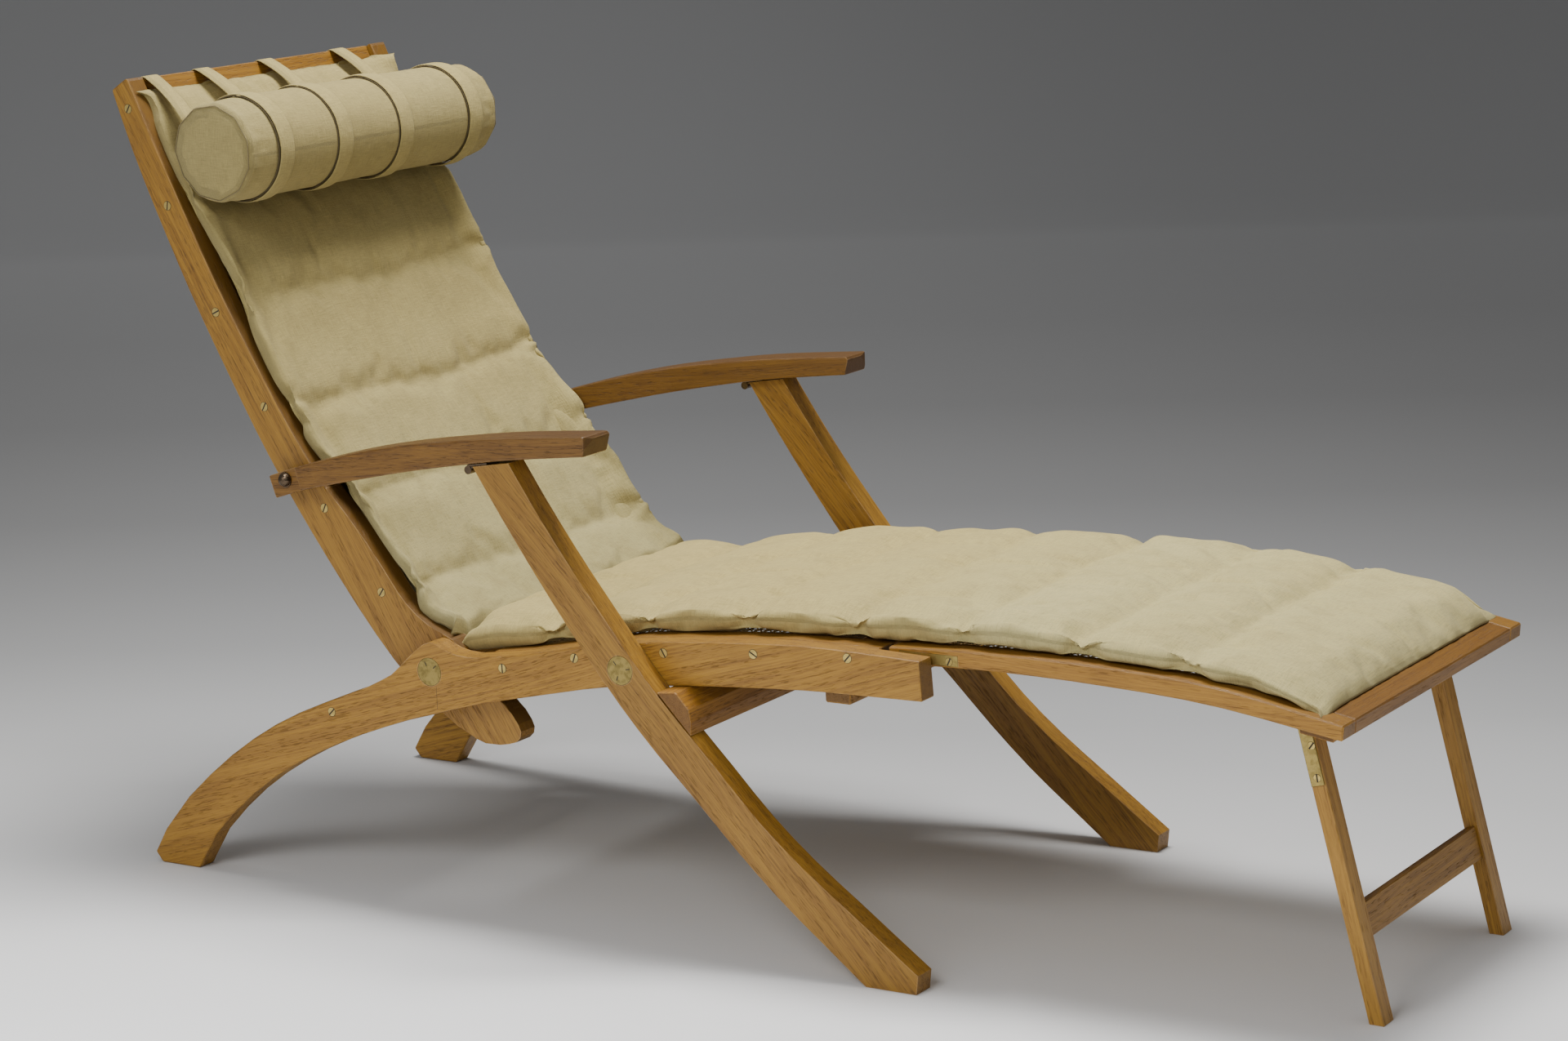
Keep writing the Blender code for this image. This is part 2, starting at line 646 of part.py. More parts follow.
def make_stud(body, side, name, bronze):
    """The domed knob whose shank carries the arm's tongue on the stile."""
    seat = arm_outer(0) - ARM_REBATE + FIT
    profile = [(0, STILE_IN + 0.008 + FIT), (STUD_RADIUS, STILE_IN + 0.008 + FIT), (STUD_RADIUS, seat),
               (KNOB_RADIUS, seat), (KNOB_RADIUS, seat + KNOB_FLANGE),
               (KNOB_RADIUS * 0.9, seat + KNOB_FLANGE)]
    for k in range(1, 5):
        angle = math.radians(90) * k / 5
        profile.append((KNOB_RADIUS * 0.9 * math.cos(angle),
                        seat + KNOB_FLANGE + (KNOB_HEIGHT - KNOB_FLANGE) * math.sin(angle)))
    profile.append((0, seat + KNOB_HEIGHT))
    stud = turned(profile, ARM_KNOB)
    flip_side(stud, side)
    body.add(name, stud, bronze, round_sides=True)


def make_crossbar(body, wood):
    """The bar on the legs' front faces, which stops the chair where it meets the rails from below."""
    def front(s, out):
        return LEG.point(s, LEG.low(s) - FIT - out)

    low = CROSSBAR_BOTTOM
    outline = [front(CROSSBAR_TOP + 0.030, 0), front(CROSSBAR_TOP + 0.030, CROSSBAR_THICKNESS),
               front(low + 0.022, CROSSBAR_THICKNESS), front(low + 0.010, CROSSBAR_THICKNESS * 0.6),
               front(low, 0)]
    bar = slab(outline, -LEG_OUT, LEG_OUT)
    stop = PIVOT_SPACING + 0.056
    up = RAIL.normal(stop)
    trim(bar, place(RAIL.point(stop, RAIL.low(stop) - FIT), 0), Vector((up.x, 0, up.y)))
    body.add("leg_crossbar", bar, wood, EDGE_ROUND)


# Cane frames, cross rails and the footrest

def frame_low(s):
    return RAIL.high(s) - FRAME_THICKNESS


def cane_high(s):
    return RAIL.high(s) - CANE_INSET


def cane_low(s):
    return cane_high(s) - CANE_THICKNESS


def back_front(s):
    """The back frame's front face, sunk between the stiles."""
    sink = min(BACK_RECESS, STILE.half(s) - FRAME_THICKNESS / 2)
    return STILE.low(s) + sink


def back_rear(s):
    return back_front(s) + FRAME_THICKNESS


def make_seat(body, wood, cane):
    out = RAIL_IN - FIT
    inside = out - FRAME_SIDE_WIDTH
    start, end = SEAT_FRAME_START, SEAT_FRAME_END
    for side, word in ((-1, "near"), (1, "far")):
        member = board(RAIL, start, end, side * inside, side * out, frame_low, RAIL.high, steps=10)
        body.add("seat_frame_side_" + word, member, wood, 0.001)
    across = inside - FIT
    rear = board(RAIL, start, start + FRAME_END_WIDTH, -across, across, frame_low, RAIL.high, steps=2)
    body.add("seat_frame_rear", rear, wood, 0.001)
    front = board(RAIL, end - FRAME_END_WIDTH, end, -across, across, frame_low, RAIL.high, steps=2)
    body.add("seat_frame_front", front, wood, 0.001)
    panel = board(RAIL, start + FRAME_END_WIDTH + FIT, end - FRAME_END_WIDTH - FIT, -across, across,
                  cane_low, cane_high, steps=14)
    body.add("seat_cane", panel, cane)

    def under_frame(s):
        return frame_low(s) - FIT

    def rail_bottom(s):
        return under_frame(s) - CROSS_RAIL_DEPTH

    half = CROSS_RAIL_WIDTH / 2
    cross = board(RAIL, CROSS_RAIL_AT - half, CROSS_RAIL_AT + half, -out, out, rail_bottom, under_frame)
    body.add("front_cross_rail", cross, wood, 0.0015)
    half = REAR_RAIL_WIDTH / 2
    rear = board(RAIL, REAR_RAIL_AT - half, REAR_RAIL_AT + half, -out, out,
                 lambda s: -REAR_RAIL_DEPTH / 2 + 0.002, lambda s: REAR_RAIL_DEPTH / 2 + 0.002)
    body.add("rear_cross_rail", rear, wood, 0.0015)


def make_back_frame(body, wood, cane):
    out = STILE_IN - FIT
    inside = out - FRAME_SIDE_WIDTH
    start, end = BACK_FRAME_START, BACK_FRAME_END
    for side, word in ((-1, "near"), (1, "far")):
        member = board(STILE, start, end, side * inside, side * out, back_front, back_rear, steps=12)
        body.add("back_frame_side_" + word, member, wood, 0.001)
    across = inside - FIT
    lower = board(STILE, start, start + FRAME_END_WIDTH, -across, across, back_front, back_rear, steps=2)
    body.add("back_frame_bottom", lower, wood, 0.001)
    upper = board(STILE, end - FRAME_END_WIDTH, end, -across, across, back_front, back_rear, steps=2)
    body.add("back_frame_top", upper, wood, 0.001)
    panel = board(STILE, start + FRAME_END_WIDTH + FIT, end - FRAME_END_WIDTH - FIT, -across, across,
                  lambda s: back_front(s) + CANE_INSET, lambda s: back_front(s) + CANE_INSET + CANE_THICKNESS,
                  steps=16)
    body.add("back_cane", panel, cane)
    top = board(STILE, STILE_LENGTH - TOP_RAIL_DEPTH, STILE_LENGTH, -out, out, top_rail_front, top_rail_rear)
    body.add("back_top_rail", top, wood, 0.0015)


def top_rail_front(s):
    return -TOP_RAIL_THICKNESS / 2


def top_rail_rear(s):
    return TOP_RAIL_THICKNESS / 2


def make_footrest(body, wood, cane, brass):
    tip = FOOTREST_LENGTH
    board_start = tip - FOOTREST_BOARD_WIDTH
    across = FOOTREST_IN - FIT
    for side, word in ((-1, "near"), (1, "far")):
        long_side = board(FOOTREST, -FOOTREST_TAIL, tip, side * FOOTREST_IN, side * FOOTREST_OUT, steps=12)
        obj = body.add("footrest_side_" + word, long_side, wood, 0.0015)
        rear, front = -PLATE_WIDTH - FIT, PLATE_LENGTH - PLATE_WIDTH + FIT
        housing = board(FOOTREST, rear, front, side * (FOOTREST_OUT - PLATE_THICKNESS - FIT),
                        side * (FOOTREST_OUT + 0.002), plate_low(FIT), plate_high(FIT), steps=4)
        cut(obj, housing)
        plate = board(FOOTREST, rear + FIT, front - FIT, side * (FOOTREST_OUT - PLATE_THICKNESS),
                      side * FOOTREST_OUT, plate_low(0), plate_high(0), steps=4)
        obj = body.add("footrest_pivot_plate_" + word, plate, brass)
        weld(obj, rod(FOOTREST_PIVOT, FOOTREST_PIN_RADIUS, side * (FOOTREST_OUT - PLATE_THICKNESS / 2),
                      side * (RAIL_IN + 0.016)))
    front = board(FOOTREST, board_start, tip, -across, across, steps=6)
    body.add("footrest_front_rail", front, wood, 0.0015)
    rear = board(FOOTREST, -FOOTREST_TAIL, FOOTREST_REAR_WIDTH - FOOTREST_TAIL, -across, across, steps=2)
    body.add("footrest_rear_rail", rear, wood, 0.001)

    def cane_top(s):
        return FOOTREST.high(s) - CANE_INSET

    panel = board(FOOTREST, FOOTREST_REAR_WIDTH - FOOTREST_TAIL + FIT, board_start - FIT, -across, across,
                  lambda s: cane_top(s) - CANE_THICKNESS, cane_top, steps=12)
    body.add("footrest_cane", panel, cane)

    start = batten_start()
    batten = board(FOOTREST, start, start + BATTEN_WIDTH, -across, across,
                   lambda s: batten_top(s) - BATTEN_DEPTH, batten_top, steps=2)
    body.add("footrest_stop_batten", batten, wood, 0.001)


def batten_top(s):
    return FOOTREST.low(s) - FIT


def batten_start():
    """Where the batten begins, so that the footrest's legs stand against it."""
    s = FOOTLEG_PIVOT.x - FOOTREST_PIVOT.x
    for _ in range(10):
        corner = FOOTREST.point(s, batten_top(s) - BATTEN_DEPTH) - FOOTLEG_PIVOT
        s += FOOTLEG_DEPTH / 2 + FIT - corner.dot(FOOTLEG.off)
    return s


def plate_low(clearance):
    return lambda s: smooth(FOOTREST.rows, 0.0)[0] - smooth(FOOTREST.rows, s)[0] - PLATE_WIDTH / 2 - clearance


def plate_high(clearance):
    return lambda s: smooth(FOOTREST.rows, 0.0)[0] - smooth(FOOTREST.rows, s)[0] + PLATE_WIDTH / 2 + clearance


def make_footlegs(legs, footrest, wood, brass):
    inner = FOOTLEG_OUT - FOOTLEG_THICKNESS
    strap_in = FOOTLEG_OUT + FIT
    strap_out = strap_in + STRAP_THICKNESS
    for side, word in ((-1, "near"), (1, "far")):
        leg = board(FOOTLEG, 0.0, 0.330, side * inner, side * FOOTLEG_OUT, steps=4, nose=FOOTLEG_DEPTH / 2)
        trim(leg, Vector((0, 0, 0)), Vector((0, 0, -1)))
        obj = legs.add("footleg_" + word, leg, wood, 0.0012)
        cut(obj, rod(FOOTLEG_PIVOT, bore_radius(FOOTLEG_PIN_RADIUS), side * (inner - 0.002),
                     side * (FOOTLEG_OUT + 0.002)))
        strap = board(FOOTLEG, 0.0, STRAP_LENGTH, side * strap_in, side * strap_out,
                      lambda s: -STRAP_WIDTH / 2, lambda s: STRAP_WIDTH / 2, steps=2, nose=STRAP_WIDTH / 2)
        obj = legs.add("leg_strap_" + word, strap, brass, 0.0004)
        cut(obj, rod(FOOTLEG_PIVOT, bore_radius(FOOTLEG_PIN_RADIUS), side * (strap_in - 0.002),
                     side * (strap_out + 0.002)))
        make_bracket(footrest, side, "footleg_bracket_" + word, brass, strap_out + FIT)
    middle = STRETCHER_AT
    stretcher = board(FOOTLEG, middle - STRETCHER_HEIGHT / 2, middle + STRETCHER_HEIGHT / 2,
                      -inner + FIT, inner - FIT,
                      lambda s: FOOTLEG_DEPTH / 2 - 0.003 - STRETCHER_THICKNESS,
                      lambda s: FOOTLEG_DEPTH / 2 - 0.003, steps=1)
    legs.add("footleg_stretcher", stretcher, wood, 0.001)


def make_bracket(body, side, name, brass, face):
    """A small angle under the front rail, whose ear holds the leg's pin."""
    s = FOOTLEG_PIVOT.x - FOOTREST_PIVOT.x
    thick = STRAP_THICKNESS
    half = BRACKET_WIDTH / 2
    ends = (s - half, s + half)
    top = [FOOTREST.point(end, FOOTREST.low(end) - FIT) for end in ends]
    ear = [top[0], top[1], FOOTLEG_PIVOT + Vector((0.006, -0.004)), FOOTLEG_PIVOT + Vector((0.003, -0.007)),
           FOOTLEG_PIVOT + Vector((-0.003, -0.007)), FOOTLEG_PIVOT + Vector((-0.006, -0.004))]
    obj = body.add(name, slab(ear, side * face, side * (face + thick)), brass)
    drop = Vector((0, -thick))
    start, finish = top[0] + Vector((0.0001, -0.0001)), top[1] + Vector((-0.0001, -0.0001))
    flange = [start, finish, top[1] + drop, top[0] + drop]
    weld(obj, slab(flange, side * (face + thick / 2), side * (face + BRACKET_WIDTH)))
    weld(obj, rod(FOOTLEG_PIVOT, FOOTLEG_PIN_RADIUS, side * (FOOTLEG_OUT - FOOTLEG_THICKNESS + 0.001),
                  side * (face + thick / 2)))


# Cushion, bolster and ties

def cushion(foot_of, seams, thickness):
    """A channelled cushion: each panel swells between its sewn seams and draws its sides in at them.

    foot_of gives the underside's point and the way up at a distance along the cushion.
    """
    mesh = bmesh.new()
    rings = []
    shares = (0.0, 0.07, 0.22, 0.5, 0.78, 0.93)
    for panel, (start, end) in enumerate(zip(seams, seams[1:])):
        last = panel == len(seams) - 2
        for share in shares + ((1.0,) if last else ()):
            swell = math.sin(math.pi * share) ** 0.5 if 0 < share < 1 else 0.0
            s = start + (end - start) * share
            foot, up = foot_of(s)
            height = SEAM_THICKNESS + (thickness(s) - SEAM_THICKNESS) * swell
            half = CUSHION_HALF_WIDTH - SEAM_DRAW * (1 - swell)
            rings.append([mesh.verts.new(place(foot + up * h, y)) for y, h in cushion_section(half, height)])
    loft(mesh, rings)
    return mesh


def cushion_section(half, height):
    """A crowned section: flat below, full above, with both sides drawn in to the edge seam."""
    edge = height * 0.42
    points = []
    for k in range(11):
        u = math.sin(math.radians(90) * (k - 5) / 5)
        points.append((half * u, edge + (height - edge) * math.sqrt(max(1 - abs(u) ** 3.2, 0.0))))
    for k in range(1, 8):
        u = math.sin(math.radians(90) * (4 - k) / 4)
        points.append((half * u, edge - edge * math.sqrt(max(1 - abs(u) ** 7, 0.0))))
    return points


def back_foot(s):
    """Under the back cushion: the crease at 0, then up the back frame."""
    start = BACK_FRAME_START + 0.015
    away = -STILE.normal(max(s, start))
    if s >= start:
        return STILE.point(s, back_front(s) - CUSHION_LIFT), away
    share = s / start
    lean = Vector((math.cos(CREASE_LEAN), math.sin(CREASE_LEAN)))
    crease = CREASE + Vector((-lean.y, lean.x)) * CREASE_GAP / 2
    foot, up = back_foot(start)
    return crease.lerp(foot, share), lean.lerp(up, share).normalized()


def seat_foot(s):
    """Under the seat cushion: the crease at 0, then along the seat frame."""
    start = 0.085
    first = SEAT_FRAME_START + 0.008
    if s >= start:
        on_rail = first + s - start
        return RAIL.point(on_rail, RAIL.high(on_rail) + CUSHION_LIFT), RAIL.normal(on_rail)
    share = s / start
    lean = Vector((math.cos(CREASE_LEAN), math.sin(CREASE_LEAN)))
    crease = CREASE - Vector((-lean.y, lean.x)) * CREASE_GAP / 2
    foot, up = seat_foot(start)
    return crease.lerp(foot, share), lean.lerp(up, share).normalized()


def footrest_foot(s):
    return FOOTREST.point(s, FOOTREST.high(s) + CUSHION_LIFT), FOOTREST.normal(s)


def seams_along(start, end, first):
    """Seam places one panel apart, between the cushion's two ends."""
    places = [start]
    s = first
    while s < end - PANEL * 0.3:
        if s > start + PANEL * 0.3:
            places.append(s)
        s += PANEL
    return places + [end]


def make_cushions(seat, back, footrest, canvas):
    top = STILE_LENGTH - CUSHION_TO_TOP
    back_cushion = cushion(back_foot, seams_along(0.0, top, 0.095), back_thickness)
    back.add("pad_back", back_cushion, canvas, round_sides=True)
    end = SEAT_FRAME_END - SEAT_FRAME_START + 0.077
    seat_cushion = cushion(seat_foot, seams_along(0.0, end, 0.130), seat_thickness)
    seat.add("pad_seat", seat_cushion, canvas, round_sides=True)
    leg_cushion = cushion(footrest_foot, seams_along(-FOOTREST_TAIL - 0.001, FOOTREST_LENGTH - 0.014, 0.050),
                          lambda s: CUSHION_THICKNESS * 0.9)
    footrest.add("pad_leg", leg_cushion, canvas, round_sides=True)


def back_thickness(s):
    """The back cushion is pressed a little under the bolster."""
    press = math.exp(-((s - BOLSTER_AT) / 0.07) ** 2)
    return BACK_CUSHION_THICKNESS - UNDER_BOLSTER * press


def seat_thickness(s):
    return CUSHION_THICKNESS * (0.8 + 0.2 * min(s / 0.10, 1.0))


def bolster_centre():
    rise = CUSHION_LIFT + BACK_CUSHION_THICKNESS + FIT + BOLSTER_RADIUS
    return STILE.point(BOLSTER_AT, back_front(BOLSTER_AT) - rise + UNDER_BOLSTER)


def make_bolster(body, canvas):
    """A round bolster, with flat gathered ends and a shallow waist at each band."""
    end = []
    for k in range(7):
        angle = math.radians(90) * k / 6
        radius = BOLSTER_RADIUS - 0.012 * (1 - math.sin(angle))
        end.append((radius, BOLSTER_HALF_LENGTH - 0.014 * (1 - math.cos(angle))))
    profile = [(0, -BOLSTER_HALF_LENGTH + 0.002)] + [(radius, -y) for radius, y in end]
    for tie in TIE_PLACES:
        for out, depth in ((-0.024, 0), (-0.015, BOLSTER_WAIST), (0.015, BOLSTER_WAIST), (0.024, 0)):
            profile.append((BOLSTER_RADIUS - depth, tie + out))
    profile += end[::-1] + [(0, BOLSTER_HALF_LENGTH - 0.002)]
    body.add("bolster", turned(profile, bolster_centre(), 24), canvas, round_sides=True)


def rounded(corners, radius):
    """A path through side-view corners, each turned with a small arc."""
    path = [corners[0]]
    for before, corner, after in zip(corners, corners[1:], corners[2:]):
        towards, away = (before - corner).normalized(), (after - corner).normalized()
        reach = min(radius, (before - corner).length / 2, (after - corner).length / 2)
        for k in range(5):
            t = k / 4
            path.append((corner + towards * reach) * (1 - t) ** 2 + corner * 2 * t * (1 - t)
                        + (corner + away * reach) * t**2)
    return path + [corners[-1]]


def turn_up(angle):
    return Vector((math.cos(angle), math.sin(angle)))


def make_tie(body, place_across, name, canvas):
    """A cloth tie: from the bolster over the top rail, down behind it, and round below it to its front."""
    off = FIT + TIE_THICKNESS / 2
    top, bottom = STILE_LENGTH, STILE_LENGTH - TOP_RAIL_DEPTH

    def rail_corner(s, out, up, rear):
        return STILE.point(s, out) + STILE.normal(s) * rear + up_the_stile * up

    up_the_stile = (STILE.middle(top) - STILE.middle(bottom)).normalized()
    centre, reach = bolster_centre(), BOLSTER_RADIUS - BOLSTER_WAIST + off
    on_bolster = [centre + turn_up(math.radians(angle)) * reach for angle in (104, 112, 120, 128)]
    corners = on_bolster + [
        rail_corner(top, top_rail_front(top), off, -off),
        rail_corner(top, top_rail_rear(top), off, off),
        rail_corner(bottom, top_rail_rear(bottom), -off, off),
        rail_corner(bottom, top_rail_front(bottom), -off, -off),
        rail_corner(top - 0.006, top_rail_front(top), 0, -off),
    ]
    path = rounded(corners, 0.002)
    mesh = bmesh.new()
    rings = []
    for i, p in enumerate(path):
        run = (path[min(i + 1, len(path) - 1)] - path[max(i - 1, 0)]).normalized()
        across = Vector((-run.y, run.x)) * TIE_THICKNESS / 2
        near, far = place_across - TIE_WIDTH / 2, place_across + TIE_WIDTH / 2
        ring = ((p - across, near), (p + across, near), (p + across, far), (p - across, far))
        rings.append([mesh.verts.new(place(q, y)) for q, y in ring])
    loft(mesh, rings)
    body.add(name, mesh, canvas)


def main():
    clear_scene()
    oak = make_material("oiled_oak", (0.42, 0.23, 0.08), 0.45)
    dark_oak = make_material("dark_oak", (0.30, 0.14, 0.05), 0.45)
    pale_oak = make_material("pale_oak", (0.47, 0.31, 0.14), 0.5)
    cane = make_material("cane", (0.62, 0.50, 0.30), 0.6)
    brass = make_material("aged_brass", (0.47, 0.39, 0.20), 0.42, 1.0)
    bronze = make_material("dark_bronze", (0.10, 0.07, 0.05), 0.4, 1.0)
    canvas = make_material("canvas", (0.58, 0.52, 0.38), 0.9)

    seat = Body("seat_body")
    back = Body("back_body", BACK_PIVOT, seat)
    legs = Body("front_leg_body", LEG_PIVOT, seat)
    footrest = Body("footrest_body", FOOTREST_PIVOT, seat)
    footlegs = Body("footrest_leg_body", FOOTLEG_PIVOT, footrest)

    for side, word in ((-1, "near"), (1, "far")):
        arm = Body("arm_body_" + word, ARM_HINGE, legs)
        make_rail(seat, side, "seat_rail_" + word, oak)
        make_disc(seat, side, "pivot_disc_back_" + word, brass, BACK_PIVOT, RAIL_OUT, STILE_IN + 0.001)
        make_leg(legs, side, "front_leg_" + word, oak)
        make_disc(legs, side, "pivot_disc_leg_" + word, brass, LEG_PIVOT, LEG_OUT, RAIL_IN + 0.001)
        make_post_hinge(legs, side, "post_hinge_" + word, brass)
        make_stile(back, side, "back_stile_" + word, oak)
        make_stud(back, side, "arm_stud_" + word, bronze)
        make_arm(arm, side, "arm_" + word, dark_oak)
        make_arm_hinge(arm, side, "arm_hinge_" + word, brass)
    make_crossbar(legs, oak)
    make_seat(seat, oak, cane)
    make_back_frame(back, oak, cane)
    make_footrest(footrest, oak, cane, brass)
    make_footlegs(footlegs, footrest, pale_oak, brass)
    make_cushions(seat, back, footrest, canvas)
    make_bolster(back, canvas)
    for number, across in enumerate(TIE_PLACES, 1):
        make_tie(back, across, "bolster_strap_%d" % number, canvas)


main()
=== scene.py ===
"""Looks of the folding deck chair: oiled oak, aged brass, woven cane and a channelled canvas cushion."""

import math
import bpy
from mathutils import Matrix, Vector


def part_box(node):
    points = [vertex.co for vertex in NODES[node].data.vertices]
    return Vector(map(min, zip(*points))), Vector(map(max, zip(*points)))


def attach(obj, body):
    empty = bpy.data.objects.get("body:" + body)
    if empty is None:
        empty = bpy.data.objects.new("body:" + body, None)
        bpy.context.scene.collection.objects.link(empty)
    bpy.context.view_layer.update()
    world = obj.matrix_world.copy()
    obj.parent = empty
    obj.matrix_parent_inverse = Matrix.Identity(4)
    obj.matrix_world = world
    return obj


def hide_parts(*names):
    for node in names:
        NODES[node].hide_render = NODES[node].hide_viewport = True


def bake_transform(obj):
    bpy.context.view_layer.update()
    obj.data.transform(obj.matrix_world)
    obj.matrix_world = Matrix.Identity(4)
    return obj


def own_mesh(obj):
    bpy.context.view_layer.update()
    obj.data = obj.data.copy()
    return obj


bl_info = {
    "name": "Deck Chair Looks",
    "version": (1, 0, 0),
    "blender": (4, 5, 0),
    "location": "3D View > Sidebar > Deck Chair",
    "description": "Wood, brass, cane, canvas and studio for a folding deck chair",
    "category": "Object",
}

import bmesh
import bpy
import numpy as np
from bpy.props import FloatProperty, FloatVectorProperty, PointerProperty
from bpy.types import Operator, Panel, PropertyGroup
from mathutils import Euler, Matrix, Vector, noise

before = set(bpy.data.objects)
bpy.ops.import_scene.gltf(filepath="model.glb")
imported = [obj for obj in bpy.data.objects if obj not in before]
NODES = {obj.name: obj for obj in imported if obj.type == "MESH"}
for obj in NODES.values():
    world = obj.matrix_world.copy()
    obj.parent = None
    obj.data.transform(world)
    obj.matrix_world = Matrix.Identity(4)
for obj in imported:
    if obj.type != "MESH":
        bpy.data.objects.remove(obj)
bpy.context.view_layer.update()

# Places on the frame, in the side view (x towards the foot end, z up), in metres

BACK_PIVOT = (-0.3277, 0.2680)
LEG_PIVOT = (-0.0567, 0.3040)
BOLSTER_CENTRE = (-0.6130, 0.8225)
SIDES = (-1, 1)

# Under the cushion: distance along it, x, z, and the direction that its thickness goes

BACK_BASE = (
    (-0.020, -0.3190, 0.2830, 0.100, 0.995), (0.000, -0.3365, 0.2875, 0.331, 0.944),
    (0.030, -0.3563, 0.2995, 0.481, 0.877), (0.060, -0.3760, 0.3132, 0.622, 0.783),
    (0.095, -0.3990, 0.3307, 0.760, 0.649), (0.150, -0.4330, 0.3731, 0.799, 0.601),
    (0.200, -0.4630, 0.4133, 0.810, 0.586), (0.300, -0.5218, 0.4948, 0.832, 0.554),
    (0.400, -0.5751, 0.5812, 0.870, 0.494), (0.500, -0.6247, 0.6712, 0.888, 0.460),
    (0.600, -0.6703, 0.7648, 0.903, 0.429), (0.680, -0.7051, 0.8412, 0.922, 0.388),
    (0.726, -0.7233, 0.8862, 0.929, 0.370),
)
SEAT_BASE = (
    (0.026, -0.3130, 0.2835, 0.000, 1.000), (0.060, -0.2751, 0.2907, -0.029, 1.000),
    (0.085, -0.2497, 0.2939, -0.178, 0.984), (0.130, -0.2054, 0.3002, -0.194, 0.981),
    (0.200, -0.1372, 0.3149, -0.211, 0.978), (0.300, -0.0360, 0.3310, -0.110, 0.994),
    (0.400, 0.0646, 0.3395, -0.077, 0.997), (0.500, 0.1660, 0.3450, -0.023, 1.000),
    (0.568, 0.2348, 0.3465, 0.000, 1.000), (0.593, 0.2593, 0.3478, -0.020, 1.000),
    (0.643, 0.3094, 0.3496, -0.020, 1.000), (0.693, 0.3597, 0.3509, -0.007, 1.000),
    (0.794, 0.4601, 0.3504, 0.034, 0.999), (0.894, 0.5605, 0.3460, 0.073, 0.997),
    (0.996, 0.6614, 0.3319, 0.150, 0.989), (1.045, 0.7101, 0.3221, 0.184, 0.983),
)
BACK_SEAMS = (0.100, 0.222, 0.340, 0.474, 0.595)
SEAT_SEAMS = (0.147, 0.272, 0.396, 0.525, 0.649, 0.781, 0.898)
BACK_CREASES = ((-0.10, 0.0010, 0.014), (-0.015, 0.0014, 0.012), (0.075, 0.0012, 0.013))

# Outlines of the worked wood, in the side view: the boss's low hump with its fillets, the stile's flare in
# front of it, the stile's squared tail and top, and the arm's rounded tip

BOSS_TOP = ((-0.4700, 0.2180), (-0.4491, 0.2268), (-0.4374, 0.2322), (-0.4180, 0.2402), (-0.3989, 0.2495),
            (-0.3802, 0.2594), (-0.3684, 0.2694), (-0.3560, 0.2810), (-0.3440, 0.2912), (-0.3340, 0.2985),
            (-0.3260, 0.3012), (-0.3180, 0.2998), (-0.3100, 0.2960), (-0.3010, 0.2926), (-0.2900, 0.2904),
            (-0.2754, 0.2896), (-0.2600, 0.2902), (-0.2448, 0.2922), (-0.2300, 0.2950))
BOSS_BODY = BOSS_TOP + ((-0.2300, 0.2600), (-0.3092, 0.2640), (-0.3146, 0.2811), (-0.3277, 0.2866),
                        (-0.3408, 0.2811), (-0.3462, 0.2640), (-0.4500, 0.2050))
ABOVE_BOSS = BOSS_TOP[5:16] + ((BOSS_TOP[15][0], 0.3300), (BOSS_TOP[5][0], 0.3300))
STILE_FLARE = ((-0.4780, 0.4560), (-0.4500, 0.4270), (-0.4250, 0.3980), (-0.4032, 0.3700), (-0.3851, 0.3455),
               (-0.3752, 0.3345), (-0.3614, 0.3225), (-0.3453, 0.3122), (-0.3287, 0.3055), (-0.3136, 0.2990),
               (-0.3040, 0.2900), (-0.3010, 0.2760), (-0.3200, 0.2700), (-0.3600, 0.3000), (-0.4000, 0.3300),
               (-0.4700, 0.4300))
STILE_TAIL = ((-0.2560, 0.2390), (-0.2386, 0.2236), (-0.2310, 0.2130), (-0.2277, 0.2050), (-0.2290, 0.1980),
              (-0.2345, 0.1925), (-0.2440, 0.1895), (-0.2560, 0.1872), (-0.2757, 0.1868), (-0.2877, 0.1905),
              (-0.3059, 0.1996), (-0.3100, 0.2200), (-0.2900, 0.2500))
BELOW_TAIL = ((-0.3059, 0.1996), (-0.2877, 0.1905), (-0.2757, 0.1868), (-0.2560, 0.1872), (-0.2440, 0.1895),
              (-0.2345, 0.1925), (-0.2345, 0.1600), (-0.3300, 0.1600), (-0.3300, 0.2080))
ABOVE_STILE = ((-0.7470, 0.8935), (-0.7410, 0.8990), (-0.7330, 0.9018), (-0.7262, 0.9020), (-0.7225, 0.8985),
               (-0.7100, 0.9200), (-0.7600, 0.9200), (-0.7600, 0.8600), (-0.7488, 0.8850))
ARM_TIP = ((-0.2000, 0.4600), (-0.1150, 0.5180), (-0.1059, 0.5222), (-0.0985, 0.5242), (-0.0945, 0.5260),
           (-0.0925, 0.5290), (-0.0885, 0.5440), (-0.0882, 0.5465), (-0.0905, 0.5490), (-0.0960, 0.5503),
           (-0.1500, 0.5600), (-0.3000, 0.5600), (-0.6000, 0.5600), (-0.6000, 0.4000), (-0.3000, 0.4000))
WORKED = {
    "seat_rail": ("seat", (("UNION", BOSS_BODY), ("DIFFERENCE", ABOVE_BOSS))),
    "back_stile": ("back", (("UNION", STILE_FLARE), ("UNION", STILE_TAIL), ("DIFFERENCE", BELOW_TAIL),
                            ("DIFFERENCE", ABOVE_STILE))),
    "arm": ("arm", (("INTERSECT", ARM_TIP),)),
}
CUT_SPARE = 0.01
EDGE_ROUNDING = 0.0013
